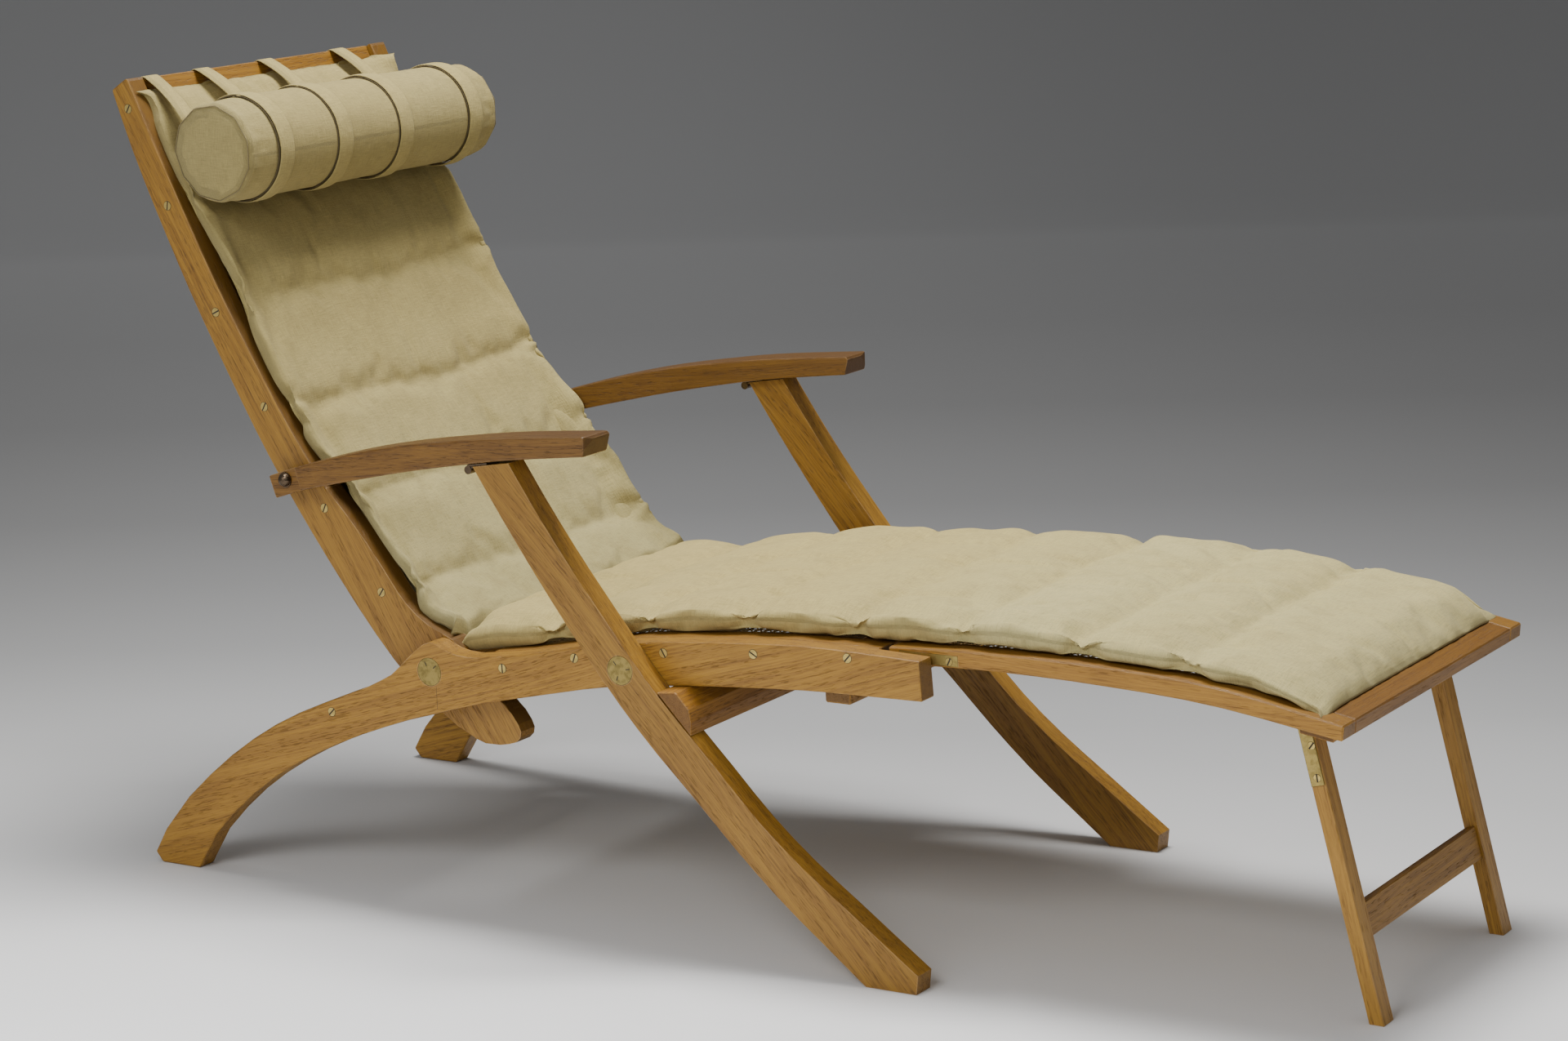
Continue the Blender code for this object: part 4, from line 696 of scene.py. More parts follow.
def swell(piece, held, pressure, growth, cap, stiff=8.0):
    """Fills a cushion with air as cloth, with its held points fixed, and keeps the shape it gets."""
    mesh = piece.data
    rest = np.array([v.co for v in mesh.vertices])
    group = piece.vertex_groups.new(name="held")
    for index, weight in enumerate(held):
        if weight > 0:
            group.add([index], weight, "REPLACE")
    cloth = piece.modifiers.new("cloth", "CLOTH")
    for key, value in {
        "quality": 6, "mass": 0.3, "tension_stiffness": stiff, "compression_stiffness": stiff,
        "shear_stiffness": stiff * 0.4, "bending_stiffness": 0.4, "tension_damping": 8,
        "compression_damping": 8, "use_pressure": True, "uniform_pressure_force": pressure,
        "shrink_min": -growth, "shrink_max": -growth, "vertex_group_mass": "held", "pin_stiffness": 1.0,
    }.items():
        setattr(cloth.settings, key, value)
    cloth.settings.effector_weights.gravity = 0
    cloth.collision_settings.use_collision = False
    cloth.collision_settings.use_self_collision = False
    scene = bpy.context.scene
    for moment in range(1, 21):
        scene.frame_set(moment)
    shaped = piece.evaluated_get(bpy.context.evaluated_depsgraph_get())
    step = np.array([v.co for v in shaped.data.vertices]) - rest
    piece.modifiers.remove(cloth)
    piece.vertex_groups.clear()
    scene.frame_set(1)
    step *= np.minimum(1.0, cap / np.maximum(np.linalg.norm(step, axis=1), 1e-9))[:, None]
    mesh.vertices.foreach_set("co", (rest + step).ravel())
    mesh.update()


def modify(piece, kind, **settings):
    """Runs a modifier on a piece and keeps its result as a plain mesh."""
    made = piece.modifiers.new(kind.lower(), kind)
    for key, value in settings.items():
        setattr(made, key, value)
    graph = bpy.context.evaluated_depsgraph_get()
    plain = bpy.data.meshes.new_from_object(piece.evaluated_get(graph))
    piece.modifiers.clear()
    old = piece.data
    piece.data = plain
    plain.name = piece.name
    bpy.data.meshes.remove(old)


def subdivide(piece):
    modify(piece, "SUBSURF", levels=1, render_levels=1)


def block(outline, low, high):
    """A closed block: an outline in the side view, between two places across the chair."""
    mesh = bpy.data.meshes.new("block")
    count = len(outline)
    points = [(x, y, z) for y in (low, high) for x, z in outline]
    faces = [tuple(range(count)), tuple(range(2 * count - 1, count - 1, -1))]
    faces += [(k, k + count, (k + 1) % count + count, (k + 1) % count) for k in range(count)]
    mesh.from_pydata(points, [], faces)
    turn_outwards(mesh)
    return new_object("block", mesh)


def work_wood(node, changes):
    """A copy of a CAD piece with blocks welded on or cut away, and its new edges rounded."""
    mesh = NODES[node].data.copy()
    work = bmesh.new()
    work.from_mesh(mesh)
    bmesh.ops.remove_doubles(work, verts=work.verts, dist=0.00001)
    bmesh.ops.dissolve_limit(work, angle_limit=math.radians(0.4), verts=work.verts, edges=work.edges)
    work.to_mesh(mesh)
    work.free()
    piece = new_object(f"{node}_worked", mesh)
    low, high = (value.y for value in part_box(node))
    for operation, outline in changes:
        spare = 0.0 if operation == "UNION" else CUT_SPARE
        tool = block(outline, low - spare, high + spare)
        modify(piece, "BOOLEAN", operation=operation, solver="EXACT", object=tool)
        old = tool.data
        bpy.data.objects.remove(tool)
        bpy.data.meshes.remove(old)
    modify(piece, "BEVEL", width=EDGE_ROUNDING, segments=2, limit_method="ANGLE",
           angle_limit=math.radians(52))
    return piece


def ribbon(name, path, width, material, seed):
    """A flat strap along a path of (centre, direction across, normal) with softly rounded edges."""
    section = ((-0.5, 0.0), (-0.46, 0.5), (-0.2, 0.62), (0.2, 0.62), (0.46, 0.5), (0.5, 0.0),
               (0.46, -0.5), (0.2, -0.5), (-0.2, -0.5), (-0.46, -0.5))
    points, uvs = [], []
    run = 0.0
    for i, (centre, across, normal) in enumerate(path):
        if i:
            run += (Vector(centre) - Vector(path[i - 1][0])).length
        for u, v in section:
            off = 0.0006 * lumps(run, u * width, 0, 0.02, seed)
            points.append(Vector(centre) + Vector(across) * (u * width)
                          + Vector(normal) * (v * STRAP_THICKNESS + off))
            uvs.append((run, u * width + (1.0 if v < 0 else 0.0)))
    n = len(section)
    faces = tube_faces(len(path), n)
    faces += [tuple(range(n)), tuple(range((len(path) - 1) * n, len(path) * n))]
    return finish_mesh(name, points, faces, material, uvs)


def cord(name, ring, radius, material):
    """A round closed cord through a ring of points."""
    sides = 6
    points = []
    middle = sum((Vector(p) for p in ring), Vector()) / len(ring)
    for i, place in enumerate(ring):
        run = (Vector(ring[(i + 1) % len(ring)]) - Vector(ring[i - 1])).normalized()
        out = (Vector(place) - middle).normalized()
        aside = run.cross(out).normalized()
        for k in range(sides):
            angle = 2 * math.pi * k / sides
            points.append(Vector(place) + (out * math.cos(angle) + aside * math.sin(angle)) * radius)
    return finish_mesh(name, points, tube_faces(len(ring), sides, closed=True), material)


# Geometry Nodes


class NodeTree(Nodes):
    """A Geometry Nodes tree that puts a cell on each point. Its inputs are numbers or, where None, materials."""

    def __init__(self, name, **inputs):
        self.tree = bpy.data.node_groups.new(name, "GeometryNodeTree")
        sockets = self.tree.interface
        sockets.new_socket("Geometry", in_out="INPUT", socket_type="NodeSocketGeometry")
        self.named = {}
        for label, default in inputs.items():
            kind = "NodeSocketMaterial" if default is None else "NodeSocketFloat"
            socket = sockets.new_socket(label, in_out="INPUT", socket_type=kind)
            if default is not None:
                socket.default_value = default
            self.named[label] = socket.identifier
        sockets.new_socket("Geometry", in_out="OUTPUT", socket_type="NodeSocketGeometry")
        self.inputs = self.tree.nodes.new("NodeGroupInput").outputs
        self.end = self.tree.nodes.new("NodeGroupOutput")

    def vector(self, x=0.0, y=0.0, z=0.0):
        return self.out("ShaderNodeCombineXYZ", {0: x, 1: y, 2: z})

    def bar(self, x, y, z):
        return self.out("GeometryNodeMeshCube", {"Size": self.vector(x, y, z)})

    def disc(self, radius, depth):
        return self.out("GeometryNodeMeshCylinder", {"Vertices": 24, "Radius": radius, "Depth": depth})

    def moved(self, geometry, **change):
        return self.out("GeometryNodeTransform", {"Geometry": geometry, **change})

    def painted(self, geometry, label):
        return self.out("GeometryNodeSetMaterial", {"Geometry": geometry, "Material": self.inputs[label]})

    def joined(self, parts):
        made = self.node("GeometryNodeJoinGeometry")
        for part in parts:
            self.feed(made.inputs[0], part)
        return made.outputs[0]

    def scatter(self, cell):
        """Ends the tree with the cell on each point, at the point's own turn."""
        turn = self.out("GeometryNodeInputNamedAttribute", {"Name": "turn"}, data_type="FLOAT_VECTOR")
        spread = self.out("GeometryNodeInstanceOnPoints", {"Points": self.inputs["Geometry"], "Instance": cell,
                                                           "Rotation": turn})
        self.feed(self.end.inputs[0], self.out("GeometryNodeRealizeInstances", {"Geometry": spread}))
        return self


def grow(name, tree, values, places, turns):
    """Runs a tree on a cloud of places, each with its own turn, and returns its result as a plain mesh."""
    cloud = bpy.data.meshes.new(name + "_places")
    cloud.from_pydata([tuple(p) for p in places], [], [])
    cloud.attributes.new("turn", "FLOAT_VECTOR", "POINT").data.foreach_set(
        "vector", np.array(turns, np.float32).ravel())
    piece = new_object(name, cloud)
    maker = piece.modifiers.new("maker", "NODES")
    maker.node_group = tree.tree
    for label, value in values.items():
        maker[tree.named[label]] = value
    graph = bpy.context.evaluated_depsgraph_get()
    plain = bpy.data.meshes.new_from_object(piece.evaluated_get(graph))
    piece.modifiers.clear()
    piece.data = plain
    plain.name = name
    bpy.data.meshes.remove(cloud)
    for value in values.values():
        if isinstance(value, bpy.types.Material) and value.name not in plain.materials:
            plain.materials.append(value)
    return piece


def facing(normal, spin):
    """The turn that takes +z to the normal, after a spin about it."""
    turned = Vector(normal).normalized().to_track_quat("Z", "Y")
    return tuple((turned.to_matrix() @ Matrix.Rotation(spin, 3, "Z")).to_euler())


def screw_tree():
    """A slotted screw head on a dark seat, let into the surface that it stands on. The seat is painted shade at
    the slot's floor and a ring of grime round the head.
    """
    tree = NodeTree("screw heads", Radius=0.0045, Slot=0.0011, Rise=0.0005, Metal=None, Dark=None)
    radius, slot, rise = (tree.inputs[label] for label in ("Radius", "Slot", "Rise"))
    lifted = tree.moved(tree.disc(radius, rise), Translation=tree.vector(z=tree.math("MULTIPLY", rise, 0.5)))
    groove = tree.bar(tree.math("MULTIPLY", radius, 3.0), slot, tree.math("MULTIPLY", rise, 4.0))
    cut = tree.out("GeometryNodeMeshBoolean", {"Mesh 1": lifted, "Mesh 2": groove}, operation="DIFFERENCE")
    seat = tree.disc(tree.math("MULTIPLY", radius, 1.10), tree.math("MULTIPLY", rise, 0.30))
    return tree.scatter(tree.joined((tree.painted(cut, "Metal"), tree.painted(seat, "Dark"))))


def mark_tree():
    """Short dark bars for the key slots in a disc: painted shade of the slots, with grime."""
    tree = NodeTree("disc slots", Length=0.006, Width=0.0011, Rise=0.0001, Dark=None)
    bar = tree.bar(*(tree.inputs[label] for label in ("Length", "Width", "Rise")))
    return tree.scatter(tree.painted(bar, "Dark"))


def cane_tree():
    """One cell of six-way cane: two pairs of strands and two diagonals, which pass over and under."""
    tree = NodeTree("cane weave", Pitch=0.0118, Strand=0.0019, Thickness=0.0006, Cane=None)
    pitch, strand, thick = (tree.inputs[label] for label in ("Pitch", "Strand", "Thickness"))

    def strip(length, offset, turn, level):
        place = tree.vector(y=tree.math("MULTIPLY", pitch, offset), z=tree.math("MULTIPLY", thick, level))
        placed = tree.moved(tree.bar(length, strand, thick), Translation=place)
        return tree.moved(placed, Rotation=(0, 0, turn))

    strips = [strip(pitch, offset, turn, level) for offset in (-0.11, 0.11)
              for turn, level in ((0.0, 0.0), (math.pi / 2, 0.9))]
    strips += [strip(tree.math("MULTIPLY", pitch, 1.4142), 0.0, turn, level)
               for turn, level in ((math.pi / 4, 1.7), (-math.pi / 4, -0.9))]
    return tree.scatter(tree.painted(tree.joined(strips), "Cane"))


# Operators: one for each group of pieces


class CHAIR_OT_wood(Operator):
    """Gives each wooden piece oak whose grain runs along it, and works the boss, the stiles and the arm tips"""

    bl_idname = "chair.wood"
    bl_label = "Oiled oak"

    def execute(self, context):
        settings = context.scene.chair_wood
        seed = 1.0
        for kind, (slope, *look) in WOOD_ALONG.items():
            for side in SIDES:
                seed += 1.0
                node = at_side(kind, side)
                oak = make_wood(f"oak of {node}", settings, (0, slope, 0), seed, *look)
                if kind in WORKED:
                    self.work(node, side, oak, *WORKED[kind])
                else:
                    dress(node, oak)
        for node, look in WOOD_ACROSS.items():
            seed += 1.0
            dress(node, make_wood(f"oak of {node}", settings, (0, 0, -math.pi / 2), seed, *look))
        return {"FINISHED"}

    def work(self, node, side, oak, body, changes):
        """Replaces a CAD piece by its worked copy."""
        piece = work_wood(node, changes)
        piece.data.materials.clear()
        piece.data.materials.append(oak)
        for face in piece.data.polygons:
            face.material_index = 0
        joins(piece, at_side(body, side) if body == "arm" else body, "oak", node)


class CHAIR_OT_brass(Operator):
    """Ages the brass discs, plates, straps and hinges, and lays dark bars on the discs for their key slots,
    painted slot shade with grime
    """

    bl_idname = "chair.brass"
    bl_label = "Aged brass"

    def execute(self, context):
        colour = context.scene.chair_brass.colour
        finishes = {make_brass(name, scaled(colour, share), *look): nodes
                    for name, (share, *look, nodes) in BRASSES.items()}
        finishes[make_brass("dark bronze", BRONZE, 0.24, 0.4, 5.0)] = BRONZE_NODES
        for finish, nodes in finishes.items():
            for node in nodes:
                for side in SIDES:
                    dress(at_side(node, side), finish)
        # Dark bars for the key slots and the crack: painted shade, with grime
        dark = make_plain("slot shade and grime", RECESS_SHADE_AND_GRIME, 0.7)
        tree = mark_tree()
        for body, (node, pivot, slots) in KEY_SLOTS.items():
            places, turns = [], []
            for side in SIDES:
                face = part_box(at_side(node, side))[0 if side < 0 else 1][1]
                for angle, reach in slots:
                    a = math.radians(angle)
                    places.append((pivot[0] + math.cos(a) * reach, face, pivot[1] + math.sin(a) * reach))
                    turns.append((math.pi / 2, -a, 0))
            piece = grow(f"{node}_slots", tree, {"Length": 0.0052, "Width": 0.0011, "Rise": 0.00012,
                                                 "Dark": dark}, places, turns)
            joins(piece, body, "brass")
        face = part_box("seat_rail_near")[0][1]
        # The crack is a thin dark bar: painted shade in the crack, with grime
        crack = grow("rail_crack", tree, {"Length": 0.025, "Width": 0.0004, "Rise": 0.00008, "Dark": dark},
                     [(CRACK_PLACE[0], face, CRACK_PLACE[1])], [(math.pi / 2, -math.pi / 2, 0)])
        joins(crack, "seat", "oak")
        return {"FINISHED"}


class CHAIR_OT_screws(Operator):
    """Sets the slotted brass screws of the frame"""

    bl_idname = "chair.screws"
    bl_label = "Screws"

    def execute(self, context):
        settings = context.scene.chair_brass
        metal = make_brass("screw brass", scaled(settings.colour, 1.85), 0.42, 0.30, 8.0)
        # The dark seat is painted shade at each slot's floor, and grime round the head
        dark = make_plain("screw slot shade and grime", RECESS_SHADE_AND_GRIME, 0.7)
        tree = screw_tree()
        for body, (kind, size, spots) in SCREWS.items():
            places, turns = [], []
            for side in SIDES:
                node = at_side(kind, side)
                for x, z, spin in spots:
                    origin = Vector((x - SCREW_X_START, side * 0.5, z))
                    hit, place, _, _ = NODES[node].ray_cast(origin, Vector((0, -side, 0)))
                    if not hit:
                        raise RuntimeError(f"no surface of {node} at {tuple(origin)}")
                    places.append(place)
                    turns.append(facing((0, side, 0), math.radians(spin) * -side))
            piece = grow(f"{body}_screws", tree, {"Radius": settings.screw_radius * 1.08 * size,
                                                  "Slot": settings.slot_width, "Rise": 0.00035,
                                                  "Metal": metal, "Dark": dark}, places, turns)
            joins(piece, body, "brass")
        return {"FINISHED"}


class CHAIR_OT_cane(Operator):
    """Weaves the cane of the back, the seat and the footrest"""

    bl_idname = "chair.cane"
    bl_label = "Woven cane"

    def execute(self, context):
        settings = context.scene.chair_cane
        cane = make_plain("cane", tuple(settings.colour), 0.5, grain=260.0)
        tree = cane_tree()
        pitch = settings.pitch
        across = Vector((0, 1, 0))
        for node, (body, direction) in CANES.items():
            low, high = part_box(node)
            ray = Vector(direction)
            start = Vector(((low.x + high.x) / 2, 0, (low.z + high.z) / 2)) - ray * 0.6
            along = Vector((-ray.z, 0, ray.x)).normalized()
            reach = ((high.x - low.x) ** 2 + (high.z - low.z) ** 2) ** 0.5 / 2
            rows = int(reach * 2 / pitch)
            spots, last = [], None
            for i in range(-rows * 4, rows * 4 + 1):
                hit, place, normal, _ = NODES[node].ray_cast(start + along * (i * pitch * 0.125), ray.normalized())
                if hit and (last is None or (Vector(place) - last).length >= pitch):
                    last = Vector(place)
                    spots.append((last, Vector(normal)))
            columns = int((high.y - low.y - pitch * 0.2) / pitch)
            places, turns = [], []
            for place, normal in spots:
                turn = Matrix((across.cross(normal).normalized(), across, normal)).transposed().to_euler()
                for k in range(columns):
                    places.append(place + across * ((k - (columns - 1) / 2) * pitch) - normal * 0.0012)
                    turns.append(tuple(turn))
            piece = grow(f"{node}_weave", tree, {"Pitch": pitch * 1.01, "Strand": settings.strand,
                                                 "Thickness": 0.0005, "Cane": cane}, places, turns)
            joins(piece, body, "cane", node)
        return {"FINISHED"}


class CHAIR_OT_seat_cushion(Operator):
    """Sews and fills the cushion of the seat and the footrest, as one piece fixed in place"""

    bl_idname = "chair.seat_cushion"
    bl_label = "Seat and leg cushion"

    def execute(self, context):
        settings = context.scene.chair_canvas
        canvas = make_canvas("seat canvas", 0.05, 0.45, tone=0.91)

        def height_at(s):
            full = 1.0 + 0.10 * dome(s, 0.58, 0.20) - 0.20 * ease(s, 0.78, 1.0)
            return settings.seat_height * (full + 0.22 * dome(s, 0.065, 0.045))

        def shelf_at(_):
            return -0.0012

        def depth_at(s):
            return 0.14 + 0.14 * ease(s, 0.55, 0.75)

        piece, held = quilt("seat_cushion", SEAT_BASE, SEAT_SEAMS, height_at, shelf_at, depth_at,
                            (settings.half_width, settings.half_width), settings.cell, canvas, 3.0,
                            (0.016, 0.055), ((0.003, 9.0, 0.4), (0.002, 31.0, 2.0)))
        swell(piece, held, 2.2, 0.035, 0.006)
        subdivide(piece)
        crumple(piece, SEAT_SEAMS, 21.0)
        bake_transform(piece)
        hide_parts("pad_seat", "pad_leg")
        return {"FINISHED"}


class CHAIR_OT_back_cushion(Operator):
    """Sews and fills the cushion of the back"""

    bl_idname = "chair.back_cushion"
    bl_label = "Back cushion"

    def execute(self, context):
        settings = context.scene.chair_canvas
        # Painted shade: the back canvas gets a lower tone than the seat's, for the dimmer light on the back below
        # the bolster
        canvas = make_canvas("back canvas", -0.60, -0.36, tone=0.71, soil=0.62)

        def height_at(s):
            full = 1.0 + 0.18 * (1 - ease(s, 0.05, 0.16)) - 0.50 * ease(s, 0.675, 0.712)
            return settings.back_height * full - 0.005 * dome(s, 0.610, 0.05)

        def shelf_at(s):
            flare = 0.0055 * (1 - ease(s, 0.0, 0.04)) + 0.0120 * ease(s, 0.05, 0.10) * (1 - ease(s, 0.23, 0.31))
            return 0.0150 + flare - 0.0085 * ease(s, 0.45, 0.72)

        def depth_at(_):
            return 0.20

        piece, held = quilt("back_cushion", BACK_BASE, BACK_SEAMS, height_at, shelf_at, depth_at,
                            (settings.half_width + 0.002, settings.half_width + 0.013), settings.cell, canvas,
                            11.0, (0.014, 0.020), ((0.004, 8.0, 1.4), (0.002, 27.0, 0.7)))
        swell(piece, held, 1.6, 0.03, 0.004)
        subdivide(piece)
        crumple(piece, BACK_SEAMS, 33.0, 0.0013, 0.0009, 0.0026, BACK_CREASES)
        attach(piece, "back")
        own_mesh(piece)
        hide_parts("pad_back")
        return {"FINISHED"}


class CHAIR_OT_bolster(Operator):
    """Fills the round bolster, with its end caps gathered to a seam"""

    bl_idname = "chair.bolster"
    bl_label = "Bolster"

    def stations(self, radius, half):
        """The bolster's rings, each with its place across the chair and its radius."""
        cap = [(-half - CAP_BULGE * (1 - (k / CAP_RINGS) ** 2), radius * CAP_SEAM * k / CAP_RINGS)
               for k in range(1, CAP_RINGS)]
        tube = []
        rings = int(half * 2 / 0.006)
        for k in range(rings + 1):
            y = -half + half * 2 * k / rings
            inset = min((half - abs(y)) / 0.010, 1.0)
            tube.append((y, radius * (CAP_SEAM + (1 - CAP_SEAM) * math.sqrt(1 - (1 - inset) ** 2))))
        return cap + tube + [(-y, r) for y, r in reversed(cap)]

    def execute(self, context):
        settings = context.scene.chair_bolster
        canvas = make_canvas("bolster canvas", 0.6, 1.2, tone=0.68)
        radius, half = settings.radius, settings.half_length
        stations = self.stations(radius, half)
        points, uvs, held, rings = [], [], [], {-1: [], 1: []}
        cx, cz = BOLSTER_CENTRE
        sector = 2 * math.pi / CAP_CORNERS
        for y, r in stations:
            seam = abs(abs(y) - half) < 0.0005 and r > radius * 0.9
            for k in range(BOLSTER_AROUND):
                angle = 2 * math.pi * k / BOLSTER_AROUND
                part = (angle + 0.3) % sector - sector / 2
                faceted = math.cos(sector / 2) / math.cos(part)
                faceted = 1 + (faceted - 1) * 0.95 * dome(half, abs(y), 0.040)
                soft = 1 + 0.012 * lumps(math.cos(angle) * 0.06, y, math.sin(angle) * 0.06, 0.06, 5)
                flat = 1 - 0.04 * dome(angle, math.pi * 1.18, 0.5)
                reach = r * soft * flat * faceted - (0.0010 if seam else 0.0)
                points.append((cx + math.cos(angle) * reach, y, cz + math.sin(angle) * reach))
                on_tube = abs(y) <= half and r >= radius * CAP_SEAM - 1e-6
                uvs.append((angle * radius, y) if on_tube else (math.cos(angle) * r + 2, math.sin(angle) * r))
                held.append(1.0 if seam else 0.0)
                if seam:
                    rings[1 if y > 0 else -1].append(points[-1])
        faces = tube_faces(len(stations), BOLSTER_AROUND)
        for row, y in ((0, -half - CAP_BULGE), (len(stations) - 1, half + CAP_BULGE)):
            tip = len(points)
            points.append((cx, y, cz))
            uvs.append((2, 0))
            held.append(0.0)
            first = row * BOLSTER_AROUND
            faces += [(tip, first + k, first + (k + 1) % BOLSTER_AROUND) for k in range(BOLSTER_AROUND)]
        piece = finish_mesh("bolster_cushion", points, faces, canvas, uvs)
        swell(piece, held, 1.5, 0.012, 0.0015, stiff=10.0)
        subdivide(piece)
        joins(piece, "back", "canvas", "bolster")
        thread = make_plain("seam thread", (0.190, 0.150, 0.070), 0.9)
        for side, ring in rings.items():
            joins(cord(at_side("bolster_seam", side), ring, 0.0006, thread), "back", "canvas")
        return {"FINISHED"}


class CHAIR_OT_straps(Operator):
    """Wraps the four straps round the bolster and over the top rail"""

    bl_idname = "chair.straps"
    bl_label = "Straps"

    def execute(self, context):
        settings = context.scene.chair_bolster
        canvas = make_canvas("strap canvas", 0.6, 1.2, tone=0.76)
        # Painted shadow: a thin dark cord of this colour round the bolster at each strap's left edge stands in for
        # the shadow under the strap's edge
        gap = make_plain("strap edge painted shadow", (0.080, 0.058, 0.024), 0.95)
        cx, cz = BOLSTER_CENTRE
        for count, (on_bolster, on_rail) in enumerate(STRAP_ROWS, 1):
            path = self.path(settings.radius + STRAP_CLEAR, on_bolster, on_rail)
            piece = ribbon(f"strap_{count}", path, settings.strap_width, canvas, count)
            subdivide(piece)
            joins(piece, "back", "canvas", f"bolster_strap_{count}")
            reach = settings.radius + 0.0016
            edge = on_bolster - settings.strap_width / 2 - 0.0004
            turns = [2 * math.pi * k / 72 for k in range(72)]
            ring = [(cx + math.cos(turn) * reach, edge, cz + math.sin(turn) * reach) for turn in turns]
            joins(cord(f"strap_shade_{count}", ring, 0.0007, gap), "back", "canvas")
        return {"FINISHED"}

    def path(self, radius, on_bolster, on_rail):
        """Round the bolster, up over the cushion, and round the top rail."""
        cx, cz = BOLSTER_CENTRE
        lift = 0.0016
        rail = [(RAIL_FRONT[0] + 0.0006, RAIL_FRONT[1] + lift), (RAIL_REAR[0] - lift, RAIL_REAR[1] + lift * 0.6),
                (RAIL_LOW_REAR[0] - lift, RAIL_LOW_REAR[1] - lift * 0.6),
                (RAIL_LOW_FRONT[0], RAIL_LOW_FRONT[1] - lift), (RAIL_FRONT[0] + 0.010, RAIL_FRONT[1] - 0.012)]
        behind = on_bolster - STRAP_SHIFT
        spots = []
        for k in range(61):
            angle = math.radians(138 - 352 * k / 60)
            spots.append((cx + math.cos(angle) * radius, cz + math.sin(angle) * radius,
                          on_bolster + (behind - on_bolster) * ease(k, 42, 60)))
        last = spots[-1]
        for k in range(1, 9):
            t = k / 9
            arch = 0.004 * math.sin(math.pi * t)
            spots.append((last[0] + (rail[0][0] - last[0]) * t + arch * 0.6,
                          last[1] + (rail[0][1] - last[1]) * t + arch * 0.8,
                          behind + (on_rail - behind) * t))
        for (x, z), (nx, nz) in zip(rail, rail[1:]):
            spots += [(x + (nx - x) * t, z + (nz - z) * t, on_rail) for t in (0.0, 0.34, 0.67)]
        spots.append((*rail[-1], on_rail))
        path = []
        for i, (x, z, y) in enumerate(spots):
            before, after = spots[max(i - 1, 0)], spots[min(i + 1, len(spots) - 1)]
            run = Vector((after[0] - before[0], 0, after[1] - before[1])).normalized()
            path.append(((x, y, z), (0, 1, 0), (-run.z, 0, run.x)))
        return path


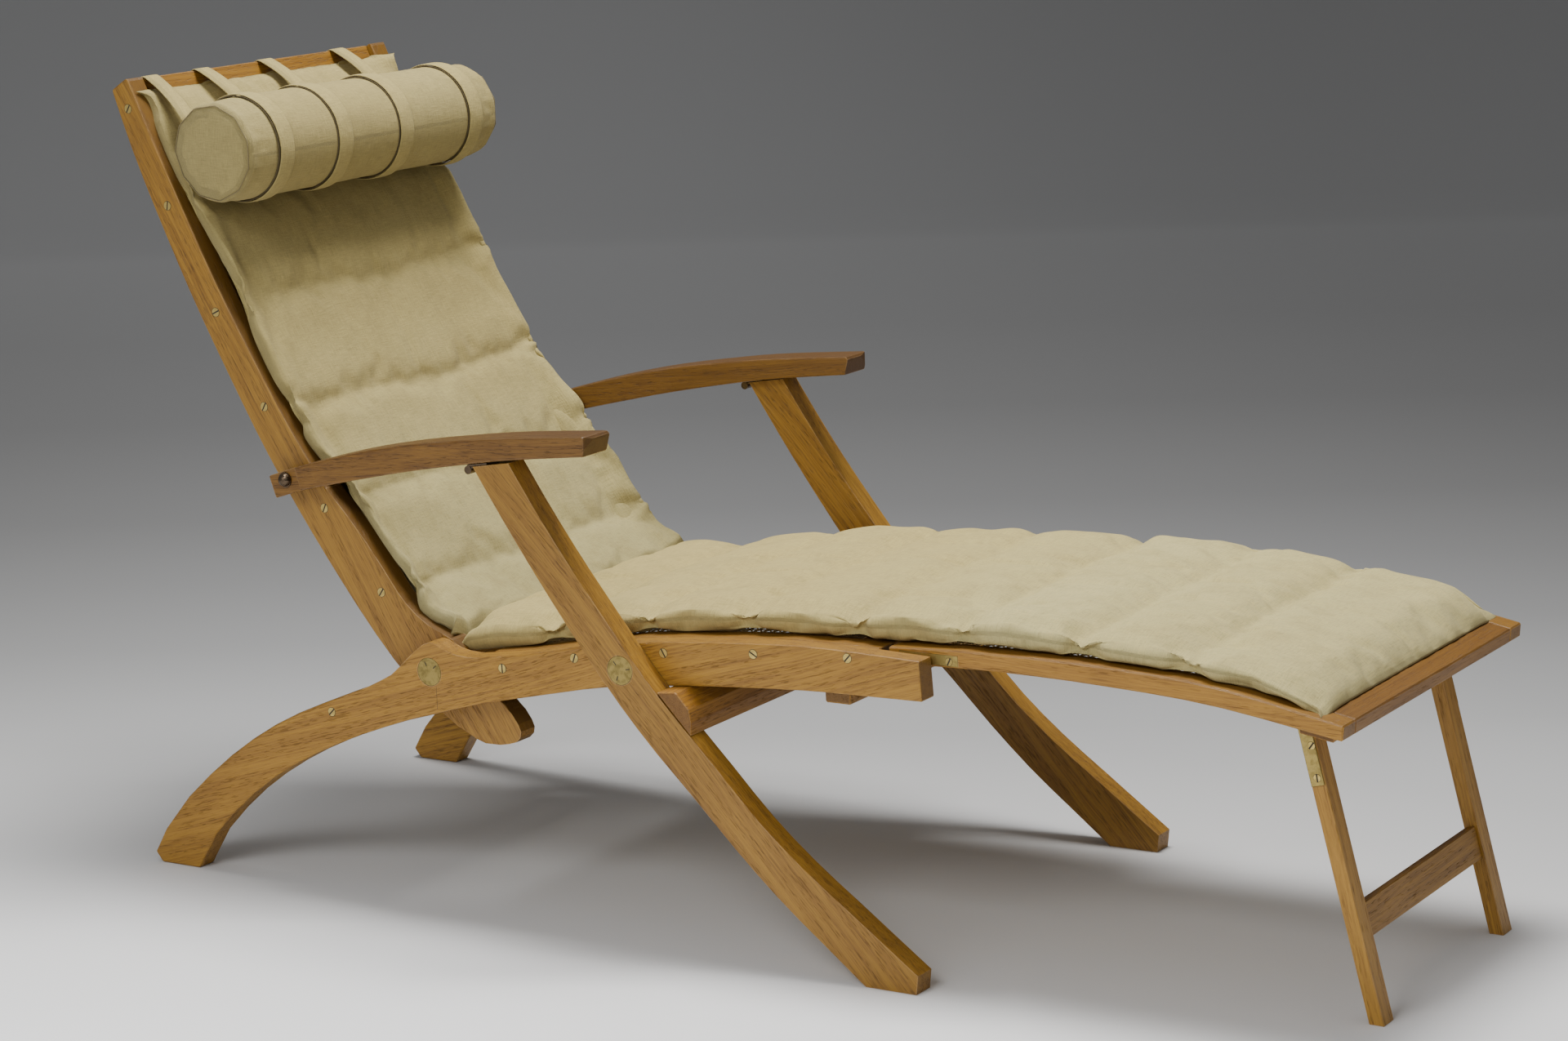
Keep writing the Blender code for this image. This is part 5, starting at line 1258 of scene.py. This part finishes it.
class CHAIR_OT_studio(Operator):
    """Sets the floor and backdrop, the lights and the camera"""

    bl_idname = "chair.studio"
    bl_label = "Studio"

    def execute(self, context):
        settings = context.scene.chair_studio
        self.sweep()
        for name, (place, target, width, depth, colour) in LAMPS.items():
            lamp = bpy.data.lights.new(name, "AREA")
            lamp.shape = "RECTANGLE"
            lamp.size, lamp.size_y = width, depth
            lamp.energy = settings.key if name == "key" else settings.fill
            lamp.color = colour
            turn = (Vector(target) - Vector(place)).to_track_quat("-Z", "Y").to_matrix()
            new_object(name, lamp).matrix_world = Matrix.Translation(Vector(place)) @ turn.to_4x4()
        world = bpy.data.worlds.new("studio air")
        context.scene.world = world
        world.use_nodes = True
        air = world.node_tree.nodes["Background"].inputs
        air[0].default_value, air[1].default_value = WORLD_COLOUR, WORLD_POWER
        camera = new_object("camera", bpy.data.cameras.new("camera"))
        camera.data.lens = settings.lens
        camera.data.sensor_width = 36
        azimuth, elevation = math.radians(settings.azimuth), math.radians(settings.elevation)
        turn = Euler((math.pi / 2 - elevation, 0, azimuth)).to_matrix() @ Matrix.Rotation(
            math.radians(settings.roll), 3, "Z")
        camera.matrix_world = Matrix.Translation(Vector(settings.place)) @ turn.to_4x4()
        context.scene.camera = camera
        return {"FINISHED"}

    def sweep(self):
        """A floor that turns up into a backdrop far behind the chair."""
        near, far, bend, half, top = -8.0, 5.5, 2.5, 14.0, 9.0
        arc = [math.pi / 2 * k / 12 for k in range(13)]
        rows = [(near, 0.0), *((far + bend * math.sin(a), bend * (1 - math.cos(a))) for a in arc),
                (far + bend, top)]
        turn = Matrix.Rotation(FLOOR_TURN, 3, "Z")
        points = [turn @ Vector((across, along, up)) for along, up in rows for across in (-half, half)]
        faces = [(2 * i, 2 * i + 1, 2 * i + 3, 2 * i + 2) for i in range(len(rows) - 1)]
        paper = Shader("backdrop paper")
        across, depth, _ = paper.split(paper.stretch(paper.here, turn=(0, 0, -FLOOR_TURN)))
        # Painted light: the greys by distance and the darkening to the right paint the lamps' falloff onto the
        # floor and backdrop
        share = paper.out("ShaderNodeMapRange", {"Value": depth, "From Min": -1.0, "From Max": 9.0})
        falloff = paper.mix(paper.grade(across, -1.2, 1.4), (1.0, 1.0, 1.0), (0.74, 0.74, 0.74))
        shade = paper.mix(1.0, paper.greys(share, PAINTED_FLOOR_FALLOFF), falloff, "MULTIPLY")
        cloud = paper.math("MULTIPLY", paper.noise(paper.here, 1.1, 3.0, 0.5), 0.05)
        material = paper.finish({"Base Color": paper.mix(cloud, shade, (0.3, 0.3, 0.3)), "Roughness": 0.85,
                                 "Specular IOR Level": 0.2})
        finish_mesh("backdrop", points, faces, material)


class CHAIR_PT_looks(Panel):
    bl_label = "Deck Chair"
    bl_idname = "CHAIR_PT_looks"
    bl_space_type = "VIEW_3D"
    bl_region_type = "UI"
    bl_category = "Deck Chair"

    def draw(self, context):
        layout = self.layout
        for label, owner in SETTINGS.items():
            box = layout.box()
            box.label(text=label.replace("chair_", "").title())
            group = getattr(context.scene, label)
            for name in owner.__annotations__:
                box.prop(group, name)
        for step in STEPS:
            layout.operator(step.bl_idname)


SETTINGS = {
    "chair_wood": WoodSettings,
    "chair_brass": BrassSettings,
    "chair_cane": CaneSettings,
    "chair_canvas": CanvasSettings,
    "chair_bolster": BolsterSettings,
    "chair_studio": StudioSettings,
}

# The screws come before the wood, because they are set on the CAD pieces that the worked wood replaces

STEPS = (
    CHAIR_OT_studio,
    CHAIR_OT_brass,
    CHAIR_OT_screws,
    CHAIR_OT_wood,
    CHAIR_OT_cane,
    CHAIR_OT_seat_cushion,
    CHAIR_OT_back_cushion,
    CHAIR_OT_bolster,
    CHAIR_OT_straps,
)


def register():
    for owner in (*SETTINGS.values(), *STEPS, CHAIR_PT_looks):
        bpy.utils.register_class(owner)
    for label, owner in SETTINGS.items():
        setattr(bpy.types.Scene, label, PointerProperty(type=owner))


def unregister():
    for label in SETTINGS:
        delattr(bpy.types.Scene, label)
    for owner in reversed((*SETTINGS.values(), *STEPS, CHAIR_PT_looks)):
        bpy.utils.unregister_class(owner)


def main():
    register()
    for step in STEPS:
        getattr(bpy.ops.chair, step.bl_idname.split(".")[1])()


if __name__ == "__main__":
    main()
